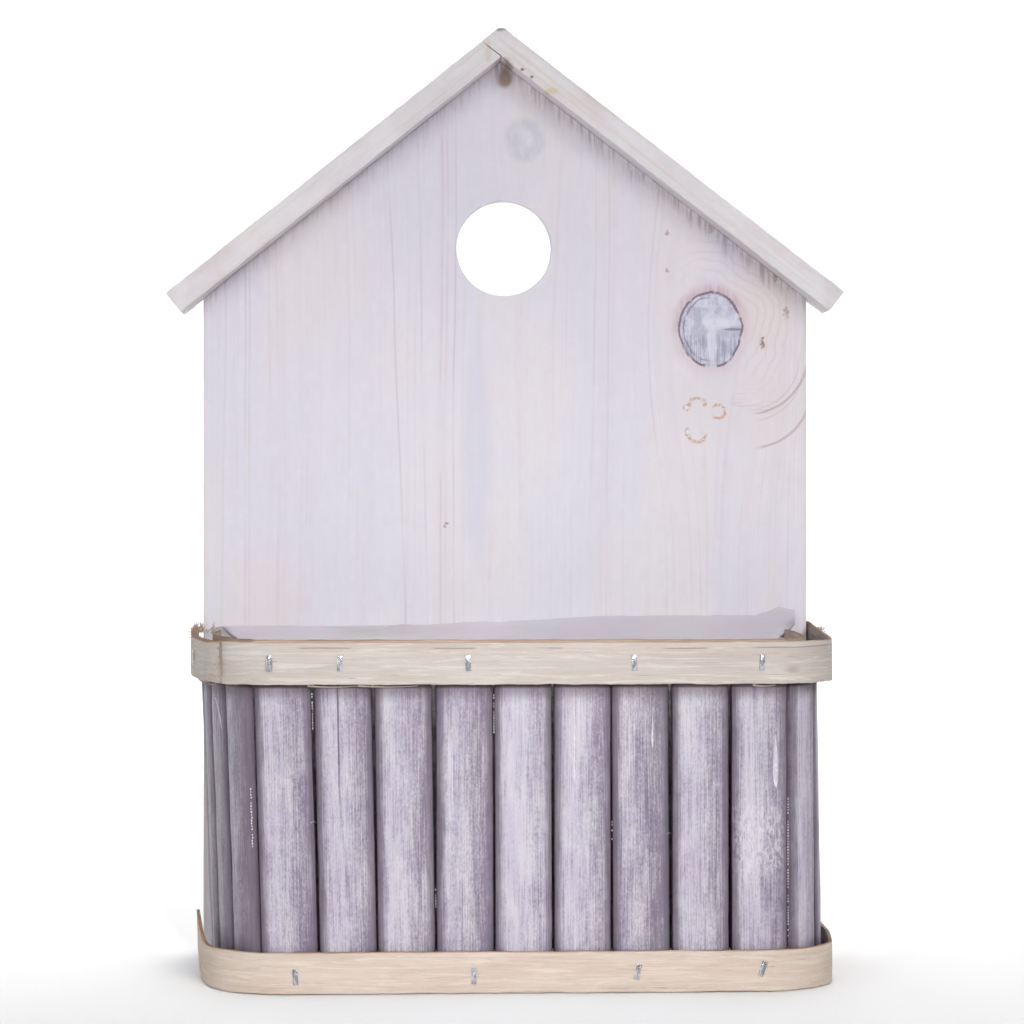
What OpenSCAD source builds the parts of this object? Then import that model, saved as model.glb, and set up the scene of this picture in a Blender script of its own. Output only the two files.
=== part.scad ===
// Planter in the outline of a birdhouse: a house-shaped back board with two
// roof strips, and a basket of upright slats held by bent veneer bands.
// Millimetres. +Z is up, the front faces -Y, and the origin lies on the ground
// in the middle of the footprint.

/* [Board] */
// Width of the back board
board_w = 286; // [240:1:345]
// Thickness of the back board
board_t = 9; // [7:0.5:12]
// Height of the roof's tip above the ground
ridge_z = 437.5; // [380:0.5:525]
// Distance of the roof's tip from the middle of the board
ridge_x = -3; // [-8:0.5:8]
// Glue line between the left and the middle stave
left_seam_x = -26.5; // [-50:0.5:-24]
// Glue line between the middle and the right stave
right_seam_x = 77.5; // [40:0.5:95]
// Diameter of the entrance hole
hole_d = 45; // [28:1:54]
// Height of the entrance hole's centre
hole_z = 334.5; // [300:0.5:345]
// Distance of the entrance hole from the middle of the board
hole_x = -1; // [-10:0.5:10]

/* [Roof] */
// Pitch of the left roof strip
left_pitch = 38.75; // [34:0.25:42]
// Pitch of the right roof strip
right_pitch = 37.5; // [34:0.25:42]
// Thickness of the roof strips
roof_t = 11.5; // [8:0.5:15]
// Depth of the roof strips from back to front
roof_d = 25; // [18:0.5:40]
// Length of the left roof strip along its top
left_roof_len = 201; // [185:1:245]
// Length of the right roof strip along its top
right_roof_len = 204; // [185:1:245]
// How much of the sharp tip is planed off
ridge_flat = 1.2; // [0:0.1:3]

/* [Basket] */
// Distance from the board to the outside of the front band
basket_d = 119; // [95:1:145]
// Height of the basket's rim at the front
rim_z = 153; // [125:1:190]
// Inset of the left front corner from the board's edge
left_corner_in = 35; // [34:0.5:52]
// Inset of the right front corner from the board's edge
right_corner_in = 32.5; // [32:0.5:52]
// Radius of the left front corner
left_corner_r = 14; // [12:0.5:28]
// Radius of the right front corner
right_corner_r = 25; // [18:0.5:32]
// How far the left corner turns before it becomes the side
left_turn = 64; // [60:1:80]
// How far the right corner turns before it becomes the side
right_turn = 80; // [70:1:82]
// Inset of the left side from the board's edge where it meets the board
left_side_in = 4.5; // [1:0.5:8]
// Inset of the right side from the board's edge where it meets the board
right_side_in = 2; // [0.5:0.5:8]

/* [Slats] */
// Slats across the front
front_slats = 9; // [7:1:11]
// Slats along each side, the corner slat included
side_slats = 5; // [4:1:6]
// Greatest thickness of a slat
slat_t = 5; // [4:0.25:7]
// Thickness of a slat at its rounded edges
slat_edge_t = 1.6; // [0.8:0.1:3]
// Gap between two slats
slat_gap = 1; // [0.8:0.1:2]
// How far the front row of slats runs into the left corner
left_lap = 8; // [3:0.5:12]
// How far the front row of slats runs into the right corner
right_lap = 11; // [4:0.5:14]
// Height of the slats' lower ends above the ground
slat_foot = 2; // [1:0.5:6]
// How far the slats' upper ends stay below the rim
slat_drop = 4; // [2:0.5:10]

/* [Bands] */
// Thickness of the veneer bands
band_t = 1.5; // [0.8:0.1:2.5]
// Height of the rim bands
rim_band_h = 18.5; // [12:0.5:26]
// Height of the base bands
base_band_h = 18.3; // [12:0.1:26]
// Radius of the bands' front corners
band_corner_r = 35.5; // [30:0.5:40]
// Inset of the bands' left corner from the board's edge
left_band_in = 42.7; // [38:0.1:54]
// Inset of the bands' right corner from the board's edge
right_band_in = 37; // [33:0.5:54]
// How far the bands' left corner turns before it becomes the side
left_band_turn = 78; // [72:1:84]
// How far the bands' right corner turns before it becomes the side
right_band_turn = 84; // [74:1:86]
// Gap between the left board edge and the rim band
left_band_gap = 2.5; // [0.5:0.5:5]
// Gap between the right board edge and the rim band
right_band_gap = 1; // [0.5:0.5:5]
// Inset of the rim band's lapped end from the left board edge
lap_in = 16; // [4:0.5:34]
// Distance from the board at which the base band is torn off on the left
torn_end_d = 67; // [40:1:75]
// Height of the torn horn above the base band
horn_h = 12.7; // [4:0.1:25]

/* [Floor and liner] */
// Thickness of the floor plate
floor_t = 6; // [3:0.5:10]
// Height of the floor plate above the ground
floor_z = 2.5; // [1.5:0.5:10]
// Thickness of the liner
liner_t = 0.6; // [0.4:0.1:1.5]
// Clear space between the inner bands and the liner where the slats lean most
liner_gap = 0.6; // [0.3:0.1:4]
// How far the liner's front stays below the rim
liner_drop = 2; // [0:0.5:15]
// How far the liner's back stands above the rim
liner_rise = 5; // [0:0.5:20]

/* [Fixings] */
// Width of the flat staple wire
staple_w = 2.3; // [1:0.1:3]
// Thickness of the flat staple wire
staple_t = 0.6; // [0.4:0.1:1]
// Height of a staple's crown
staple_h = 6.8; // [5:0.1:10]
// Length of a front staple's bent-over tips
clinch = 2.2; // [1:0.1:2.6]
// How deep the edge staples' legs go into the board
edge_bite = 6; // [3:0.5:12]
// Diameter of the roof brads' and floor nails' shanks
nail_d = 1.4; // [1:0.1:2]
// Diameter of their heads
nail_head_d = 2.6; // [1.8:0.1:4]
// Length of the roof brads
brad_len = 28; // [18:1:40]
// Length of the floor nails
nail_len = 30; // [18:1:40]
// Clearance between neighbouring pieces
fit = 0.4; // [0.2:0.05:0.8]
// Clearance round a staple's legs and a nail's shank
wire_fit = 0.05; // [0.02:0.01:0.2]
// Clearance between the inner bands and the staples' bent tips
tip_gap = 0.1; // [0.05:0.05:0.2]

/* [Hidden] */
slat_count = front_slats + 2 * side_slats;
function slat_name(i) =
    i < side_slats ? str("left_slat_", i + 1)
    : i < side_slats + front_slats ? str("front_slat_", i - side_slats + 1)
    : str("right_slat_", i - side_slats - front_slats + 1);

// Places from back to front
back_y = (board_t + basket_d) / 2;
face_y = back_y - board_t;
board_y = back_y - board_t / 2;
rim_foot = rim_z - rim_band_h;
lean_z = (slat_foot + rim_z - slat_drop) / 2;
corner_steps = 10;
side_steps = 8;

// Lean of the slats, in degrees, from the left end of the row (-1) to the
// right end (1): a leaning slat's top stands to the left of its foot
lean_curve = [[-1, 2.25], [-0.5, 1.9], [-0.3, 1.2], [-0.1, 0.4], [0.15, 0], [0.45, 0.15], [0.8, 1.5], [1, 1.75]];
most_lean = max([for (point = lean_curve) point[1]]);
// Staples in the rim and in the base: the slat counted across the front, the
// distance from that slat's middle, the tilt in degrees and the height offset
rim_staple_rows = [[1, -5.6, -2, 0], [2, -1, 2, 0], [4, 2, -3, 0], [7, -3.5, -2, 0], [9, 1, 3, 0]];
base_staple_rows = [[1, 2, -4, 0], [4, 3.5, 2, 0], [7, -2, 12, 1.5], [9, 1, 20, 2.5]];
// Side staples: -1 left or 1 right, and the slat counted from the board
side_staple_rows = [[-1, 3], [1, 3]];
// Brads along each roof strip, as shares of the strip's length
brad_shares = [0.18, 0.45, 0.72];
// Floor nails along the board, as shares of the board's half width
nail_shares = [-0.6, 0, 0.6];

// The inside of the front band and the slats' crowns, measured from the board
band_front = basket_d - band_t;
slat_front = band_front - fit;
// One side of a basket outline: straight front, corner radius, corner turn,
// half width at the board, depth of the front
slat_left = [board_w / 2 - left_corner_in, left_corner_r, left_turn, board_w / 2 - left_side_in, slat_front];
slat_right = [board_w / 2 - right_corner_in, right_corner_r, right_turn, board_w / 2 - right_side_in, slat_front];
band_left = [board_w / 2 - left_band_in, band_corner_r, left_band_turn, board_w / 2 + left_band_gap, band_front];
band_right = [board_w / 2 - right_band_in, band_corner_r, right_band_turn, board_w / 2 + right_band_gap, band_front];

// Where the corner of a side ends, and the arc that runs on from it to the board
function corner_end(s) = [s[0] + s[1] * sin(s[2]), s[4] - s[1] * (1 - cos(s[2]))];
function last_turn(s) = 2 * atan2(corner_end(s)[1], s[3] - corner_end(s)[0]) - s[2];
function side_r(s) = norm([s[3], 0] - corner_end(s)) / (2 * sin((last_turn(s) - s[2]) / 2));
// A point of the outline, grown outwards by g, where it has turned by a
function corner_point(s, g, a) = [s[0] + (s[1] + g) * sin(a), s[4] - s[1] + (s[1] + g) * cos(a)];
function side_point(s, g, a) = [
    corner_end(s)[0] + side_r(s) * (sin(a) - sin(s[2])) + g * sin(a),
    corner_end(s)[1] - side_r(s) * (cos(s[2]) - cos(a)) + g * cos(a)];
// The length of the corner and of the whole side, and a point and its turn
// after a run of u from the middle of the front
function corner_run(s, g) = (s[1] + g) * s[2] * PI / 180;
function whole_run(s, g) = s[0] + corner_run(s, g) + (side_r(s) + g) * (last_turn(s) - s[2]) * PI / 180;
function turn_at(s, g, u) =
    u <= s[0] ? 0
    : u <= s[0] + corner_run(s, g) ? (u - s[0]) / (s[1] + g) * 180 / PI
    : s[2] + (u - s[0] - corner_run(s, g)) / (side_r(s) + g) * 180 / PI;
function point_at(s, g, u) =
    u <= s[0] ? [u, s[4] + g]
    : u <= s[0] + corner_run(s, g) ? corner_point(s, g, turn_at(s, g, u))
    : side_point(s, g, turn_at(s, g, u));
// From half width and distance from the board to the part's own x and y
function place(p, hand) = [hand * p[0], face_y - p[1]];
function side_path(s, g, hand) = concat(
    [for (k = [0:corner_steps]) place(corner_point(s, g, s[2] * k / corner_steps), hand)],
    [for (k = [1:side_steps])
        place(side_point(s, g, s[2] + (last_turn(s) - s[2]) * k / side_steps), hand)]);
function turned(list) = [for (k = [len(list) - 1:-1:0]) list[k]];

// The bands' path from the back of the left board edge round the front to the
// back of the right board edge
function band_path(g) = concat(
    [place([band_left[3] + g, -board_t], -1)],
    turned(side_path(band_left, g, -1)),
    side_path(band_right, g, 1),
    [place([band_right[3] + g, -board_t], 1)]);

// The slats' joints along the flat backs of the slats, left to right
left_run = whole_run(slat_left, -slat_t) - fit;
right_run = whole_run(slat_right, -slat_t) - fit;
left_front_run = slat_left[0] + left_lap * (1 - slat_t / left_corner_r);
right_front_run = slat_right[0] + right_lap * (1 - slat_t / right_corner_r);
joint_runs = concat(
    [for (i = [0:side_slats - 1]) -left_run + (left_run - left_front_run) * i / side_slats],
    [for (i = [0:front_slats - 1]) -left_front_run + (left_front_run + right_front_run) * i / front_slats],
    [for (i = [0:side_slats]) right_front_run + (right_run - right_front_run) * i / side_slats]);
function joint(i) =
    joint_runs[i] < 0 ? place(point_at(slat_left, -slat_t, -joint_runs[i]), -1)
    : place(point_at(slat_right, -slat_t, joint_runs[i]), 1);
function lean_at(i) = lookup(2 * i / slat_count - 1, lean_curve);
// The joints at a height, moved sideways as the slats lean
function ring(z) = [for (i = [0:slat_count]) joint(i) - [tan(lean_at(i)) * (z - lean_z), 0]];
// A ring moved inwards by g with mitred corners
function inward(a, b) = [a[1] - b[1], b[0] - a[0]] / norm(b - a);
function inset(p, g) = [for (i = [0:len(p) - 1])
    let (m = i == 0 ? inward(p[0], p[1]) : inward(p[i - 1], p[i]),
         n = i == len(p) - 1 ? m : inward(p[i], p[i + 1]))
    p[i] + g * (m + n) / (1 + m * n)];

// Roof corners: distance along the strip's top from the tip, and below the top
function left_roof(along, below) = [ridge_x, ridge_z]
    + along * [-cos(left_pitch), -sin(left_pitch)] + below * [sin(left_pitch), -cos(left_pitch)];
function right_roof(along, below) = [ridge_x, ridge_z]
    + along * [cos(right_pitch), -sin(right_pitch)] + below * [-sin(right_pitch), -cos(right_pitch)];
// Where the two undersides meet, and where the right strip's underside comes
// out through the left strip's top
inner_apex = left_roof(roof_t / tan(90 - (left_pitch + right_pitch) / 2), roof_t);
lap_point = left_roof(roof_t / sin(left_pitch + right_pitch), 0);
left_eave_z = ridge_z - roof_t / cos(left_pitch) - (ridge_x + board_w / 2) * tan(left_pitch);
right_eave_z = ridge_z - roof_t / cos(right_pitch) - (board_w / 2 - ridge_x) * tan(right_pitch);

// Lays a flat shape in x and z upright, from y0 towards the back
module upright(y0, depth) {
    translate([0, y0 + depth, 0]) rotate([90, 0, 0]) linear_extrude(depth) children();
}

// Board and its staves
module board_outline() {
    polygon([[-board_w / 2, 0], [board_w / 2, 0], [board_w / 2, right_eave_z],
        inner_apex, [-board_w / 2, left_eave_z]]);
}
module stave(from_x, to_x) {
    difference() {
        upright(face_y, board_t) intersection() {
            board_outline();
            translate([from_x, 0]) square([to_x - from_x, ridge_z]);
        }
        translate([hole_x, back_y + 1, hole_z]) rotate([90, 0, 0])
            cylinder(d = hole_d, h = board_t + 2, $fn = 96);
        roof_brad_set(wire_fit);
        floor_nail_set(wire_fit);
        edge_staple_set(wire_fit);
    }
}
module left_stave() { color("#dcd7dd") stave(-board_w / 2, left_seam_x); }
module middle_stave() { color("#d9d5df") stave(left_seam_x, right_seam_x); }
module right_stave() { color("#dbd6dd") stave(right_seam_x, board_w / 2); }

// Roof strips: the right one laps over the left one at the ridge
module roof_strip(outline) {
    difference() {
        upright(back_y - roof_d, roof_d) difference() {
            polygon(outline);
            translate([ridge_x - roof_t, ridge_z - ridge_flat]) square([2 * roof_t, 2 * roof_t]);
        }
        roof_brad_set(wire_fit);
    }
}
module left_roof_strip() {
    color("#dcd7dc") roof_strip([lap_point, inner_apex, left_roof(left_roof_len, roof_t),
        left_roof(left_roof_len, 0)]);
}
module right_roof_strip() {
    color("#ddd8dc") roof_strip([[ridge_x, ridge_z], right_roof(right_roof_len, 0),
        right_roof(right_roof_len, roof_t), inner_apex, lap_point]);
}

// Slats: flat back, crowned front with rounded edges
module slat_profile(w) {
    side_points = 7;
    polygon(concat([[-w / 2, 0], [w / 2, 0]],
        [for (k = [side_points:-1:-side_points])
            let (q = sin(90 * k / side_points))
            [q * w / 2, -slat_edge_t - (slat_t - slat_edge_t) * pow(1 - pow(abs(q), 3), 1 / 2)]]));
}
module slat(i) {
    a = joint(i);
    b = joint(i + 1);
    middle = (a + b) / 2;
    color("#b0a6b6") difference() {
        translate([middle[0], middle[1], lean_z]) rotate([0, -lean_at(i + 0.5), 0])
            rotate([0, 0, atan2(b[1] - a[1], b[0] - a[0])])
            translate([0, 0, slat_foot - lean_z]) linear_extrude(rim_z - slat_drop - slat_foot)
            slat_profile(norm(b - a) - slat_gap);
        if (i < side_slats || i >= side_slats + front_slats) side_staple_set(wire_fit);
        else {
            front_staple_set(rim_staple_rows, rim_staple_z, i - side_slats + 1, wire_fit);
            front_staple_set(base_staple_rows, base_staple_z, i - side_slats + 1, wire_fit);
        }
    }
}

// Bands
module band_outline(g0, g1) {
    polygon(concat(band_path(g1), turned(band_path(g0))));
}
module before_board() {
    difference() {
        children();
        translate([-board_w, face_y - fit]) square([2 * board_w, board_w]);
    }
}
module inner_band(z, h) {
    p = ring(z + h / 2);
    color("#d8c8bc") translate([0, 0, z]) linear_extrude(h) before_board()
        polygon(concat(inset(p, fit), turned(inset(p, fit + band_t))));
}
module rim_band() {
    color("#d7cbc3") difference() {
        translate([0, 0, rim_foot]) linear_extrude(rim_band_h) band_outline(0, band_t);
        front_staple_set(rim_staple_rows, rim_staple_z, 0, wire_fit);
        side_staple_set(wire_fit);
        edge_staple_set(wire_fit);
    }
}
module rim_band_lap() {
    color("#cfc2b4") difference() {
        translate([0, 0, rim_foot]) linear_extrude(rim_band_h) intersection() {
            band_outline(band_t, 2 * band_t);
            translate([lap_in - 1.5 * board_w, face_y - basket_d - board_w]) square([board_w, 2 * board_w]);
        }
        side_staple_set(wire_fit);
        edge_staple_set(wire_fit);
    }
}
module rim_inner_band() {
    difference() {
        inner_band(rim_foot, rim_band_h);
        front_staple_set(rim_staple_rows, rim_staple_z, 0, wire_fit);
    }
}
// The base band's left end is torn: the outline seen from the side, in distance
// from the board and height
module torn_outline() {
    d = torn_end_d;
    h = base_band_h;
    t = h + horn_h;
    polygon([[d, 0], [d + 2, 6], [d + 9, 9.5], [d + 9, 12.5], [d - 2, 15], [d, 20], [d + 2, t - 6],
        [d - 2, t], [d + 8, t - 1], [d + 18, t - 2.5], [d + 14, t - 6.5], [d + 13, h + 3], [d + 16, h],
        [basket_d + 1, h], [basket_d + 1, 0]]);
}
module base_band() {
    color("#decfc5") difference() {
        union() {
            linear_extrude(base_band_h) intersection() {
                band_outline(0, band_t);
                translate([0, face_y - basket_d - board_w]) square([board_w, 2 * board_w]);
            }
            intersection() {
                linear_extrude(base_band_h + horn_h) intersection() {
                    band_outline(0, band_t);
                    translate([-board_w, face_y - basket_d - board_w]) square([board_w, 2 * board_w]);
                }
                rotate([0, 0, -90]) translate([-face_y, 0, 0]) rotate([90, 0, 0])
                    translate([0, 0, -1]) linear_extrude(board_w) torn_outline();
            }
        }
        front_staple_set(base_staple_rows, base_staple_z, 0, wire_fit);
    }
}
module base_inner_band() {
    difference() {
        inner_band(slat_foot, base_band_h - slat_foot);
        front_staple_set(base_staple_rows, base_staple_z, 0, wire_fit);
    }
}

// Floor plate and liner
module floor_plate() {
    p = inset(ring(floor_z + floor_t / 2), 2 * fit + band_t + tip_gap + staple_t);
    color("#c9b59a") difference() {
        translate([0, 0, floor_z]) linear_extrude(floor_t)
            polygon(concat([[p[0][0], face_y]], p, [[p[len(p) - 1][0], face_y]]));
        floor_nail_set(wire_fit);
    }
}
module liner_outline(g) {
    p = inset(ring(lean_z), fit + band_t + tan(most_lean) * lean_z + liner_gap + g);
    last = len(p) - 1;
    polygon(concat([[p[0][0], face_y - fit - g]], [for (i = [1:last - 1]) p[i]],
        [[p[last][0], face_y - fit - g]]));
}
module liner() {
    foot = floor_z + floor_t + fit;
    front_h = rim_z - liner_drop - foot;
    back_h = rim_z + liner_rise - foot;
    color("#e4e1ea", 0.6) translate([0, 0, foot]) difference() {
        linear_extrude(back_h) liner_outline(0);
        translate([0, 0, liner_t]) linear_extrude(back_h) liner_outline(liner_t);
        translate([-board_w, face_y - fit - liner_t - board_w, front_h]) cube([2 * board_w, board_w, back_h]);
    }
}

// Staples: an upright crown, two legs and, where they reach through, bent tips.
// The band's face lies in y = 0 and the legs point towards +y.
module staple(leg, tips, grow) {
    half = staple_h / 2;
    if (grow == 0) translate([-staple_w / 2, -staple_t, -half]) cube([staple_w, staple_t, staple_h]);
    for (s = [-1, 1]) {
        translate([-staple_w / 2 - grow, 0, s * (half - staple_t / 2) - staple_t / 2 - grow])
            cube([staple_w + 2 * grow, leg, staple_t + 2 * grow]);
        if (tips && grow == 0) translate([-staple_w / 2, leg - staple_t, s * (half - clinch / 2) - clinch / 2])
            cube([staple_w, staple_t, clinch]);
    }
}
rim_staple_z = rim_foot + rim_band_h * 0.5;
base_staple_z = base_band_h * 0.42;
// Front staples of one row. only = 0 makes all, and a number makes one slat's.
// The legs reach through the slat's back and the inner band behind it.
module front_staple_set(rows, z, only, grow) {
    for (row = rows) if (row[0] <= front_slats && (only == 0 || only == row[0])) {
        a = joint(side_slats + row[0] - 1);
        b = joint(side_slats + row[0]);
        lean = tan(lean_at(side_slats + row[0] - 0.5)) * (z - lean_z);
        slope = (b[1] - a[1]) / (b[0] - a[0]);
        back = (a[1] + b[1]) / 2 + slope * row[1];
        leg = back - (face_y - basket_d) + fit + band_t + abs(slope) * staple_w + tip_gap + staple_t;
        translate([(a[0] + b[0]) / 2 + row[1] - lean, face_y - basket_d, z + row[3]])
            rotate([0, row[2], 0]) staple(leg, true, grow);
    }
}
// The run along a band at which it is d in front of the board
function run_at_depth(s, d) = let (
    a = acos(max(-1, min(1, cos(s[2]) - (corner_end(s)[1] - d) / side_r(s)))))
    s[0] + corner_run(s, 0) + side_r(s) * (a - s[2]) * PI / 180;
// Side staples reach from the band's outside to the back of a slat
module side_staple_set(grow) {
    for (row = side_staple_rows) {
        s = row[0] < 0 ? band_left : band_right;
        layers = row[0] < 0 ? 2 * band_t : band_t;
        i = row[0] < 0 ? row[1] - 1 : slat_count - row[1];
        back = (joint(i) + joint(i + 1)) / 2 - [tan(lean_at(i + 0.5)) * (rim_staple_z - lean_z), 0];
        turn = turn_at(s, 0, run_at_depth(s, face_y - back[1]));
        p = place(side_point(s, layers, turn), row[0]);
        translate([p[0], p[1], rim_staple_z]) rotate([0, 0, row[0] * turn])
            staple(norm(p - back), false, grow);
    }
}
// Edge staples hold the rim band's ends to the board's edges
module edge_staple_set(grow) {
    for (hand = [-1, 1]) {
        s = hand < 0 ? band_left : band_right;
        layers = hand < 0 ? 2 * band_t : band_t;
        translate([hand * (s[3] + layers), board_y, rim_staple_z]) rotate([0, 0, hand * 90])
            staple(s[3] + layers - board_w / 2 + edge_bite, false, grow);
    }
}
module rim_staples() { color("#b9bcc4") front_staple_set(rim_staple_rows, rim_staple_z, 0, 0); }
module base_staples() { color("#b9bcc4") front_staple_set(base_staple_rows, base_staple_z, 0, 0); }
module side_staples() { color("#b9bcc4") side_staple_set(0); }
module edge_staples() { color("#b9bcc4") edge_staple_set(0); }

// A nail with its head's top at the origin and its shank pointing down
module nail(length, grow) {
    translate([0, 0, -length]) cylinder(d = nail_d + 2 * grow, h = length, $fn = 24);
    translate([0, 0, -nail_d / 2]) cylinder(d = nail_head_d + 2 * grow, h = nail_d / 2 + grow, $fn = 24);
}
module roof_brad_set(grow) {
    for (share = brad_shares) {
        left = left_roof(left_roof_len * share, 0);
        right = right_roof(right_roof_len * share, 0);
        translate([left[0], board_y, left[1]]) rotate([0, -left_pitch, 0]) nail(brad_len, grow);
        translate([right[0], board_y, right[1]]) rotate([0, right_pitch, 0]) nail(brad_len, grow);
    }
}
module floor_nail_set(grow) {
    for (share = nail_shares)
        translate([share * board_w / 2, back_y, floor_z + floor_t / 2]) rotate([-90, 0, 0]) nail(nail_len, grow);
}
module roof_brads() { color("#9a9ba0") roof_brad_set(0); }
module floor_nails() { color("#9a9ba0") floor_nail_set(0); }

left_stave();
middle_stave();
right_stave();
left_roof_strip();
right_roof_strip();
for (i = [0:slat_count - 1]) slat(i);
rim_band();
rim_band_lap();
rim_inner_band();
base_band();
base_inner_band();
floor_plate();
liner();
rim_staples();
side_staples();
edge_staples();
base_staples();
roof_brads();
floor_nails();
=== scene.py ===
"""Looks of a birdhouse-shaped planter: whitewashed pine, stained slats, veneer bands and a film liner."""
import math
import random
import bmesh
import bpy
from mathutils import Matrix, Vector, noise


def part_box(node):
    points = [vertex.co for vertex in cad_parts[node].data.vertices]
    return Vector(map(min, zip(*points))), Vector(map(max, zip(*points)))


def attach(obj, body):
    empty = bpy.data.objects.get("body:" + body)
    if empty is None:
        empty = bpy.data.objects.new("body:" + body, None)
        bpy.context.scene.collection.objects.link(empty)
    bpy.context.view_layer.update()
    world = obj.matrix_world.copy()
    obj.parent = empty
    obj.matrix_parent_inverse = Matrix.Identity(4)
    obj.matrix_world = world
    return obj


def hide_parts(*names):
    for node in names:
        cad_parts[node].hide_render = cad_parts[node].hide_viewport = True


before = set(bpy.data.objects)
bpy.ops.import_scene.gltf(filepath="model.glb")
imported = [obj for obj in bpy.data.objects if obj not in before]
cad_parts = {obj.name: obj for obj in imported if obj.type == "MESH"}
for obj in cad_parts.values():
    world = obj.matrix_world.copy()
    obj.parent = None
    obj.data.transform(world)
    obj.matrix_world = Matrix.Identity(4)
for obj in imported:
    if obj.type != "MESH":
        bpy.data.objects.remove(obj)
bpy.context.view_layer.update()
MM = 0.001
chance = random.Random(7)

# Places that the frame gives
FACE_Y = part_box("middle_stave")[0].y
BACK_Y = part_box("middle_stave")[1].y
SEAM_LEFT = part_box("middle_stave")[0].x
SEAM_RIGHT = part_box("middle_stave")[1].x
BOARD_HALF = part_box("right_stave")[1].x
RIM_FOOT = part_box("rim_band")[0].z
RIM_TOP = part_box("rim_band")[1].z
BASE_INNER_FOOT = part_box("base_inner_band")[0].z
BASE_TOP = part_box("base_inner_band")[1].z
STAVES = ["left_stave", "middle_stave", "right_stave"]
SIDE_SLATS = 5
FRONT_SLATS = 9
SLATS = ([f"left_slat_{n}" for n in range(1, SIDE_SLATS + 1)]
         + [f"front_slat_{n}" for n in range(1, FRONT_SLATS + 1)]
         + [f"right_slat_{n}" for n in range(1, SIDE_SLATS + 1)])

# Sizes of the real pieces
HOLE = Vector((-1 * MM, 0, 334.5 * MM))
HOLE_R = 22.5 * MM
RIDGE = Vector((-3 * MM, 0, 437.5 * MM))
LEFT_PITCH = math.radians(38.75)
RIGHT_PITCH = math.radians(37.5)
STRIP_T = 11.5 * MM
VENEER = 1.5 * MM
INNER_VENEER_T = 1.3 * MM
SLAT_EDGE = 1.6 * MM
LAP_REACH = 14.5 * MM
TORN_FROM_BOARD = 67 * MM


# ---------------------------------------------------------------- finishes

def shade(red, green, blue):
    """A colour given in levels from 0 to 255, as the shader wants it."""
    def linear(level):
        share = level / 255
        return share / 12.92 if share <= 0.04045 else ((share + 0.055) / 1.055) ** 2.4
    return (linear(red), linear(green), linear(blue), 1)


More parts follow.
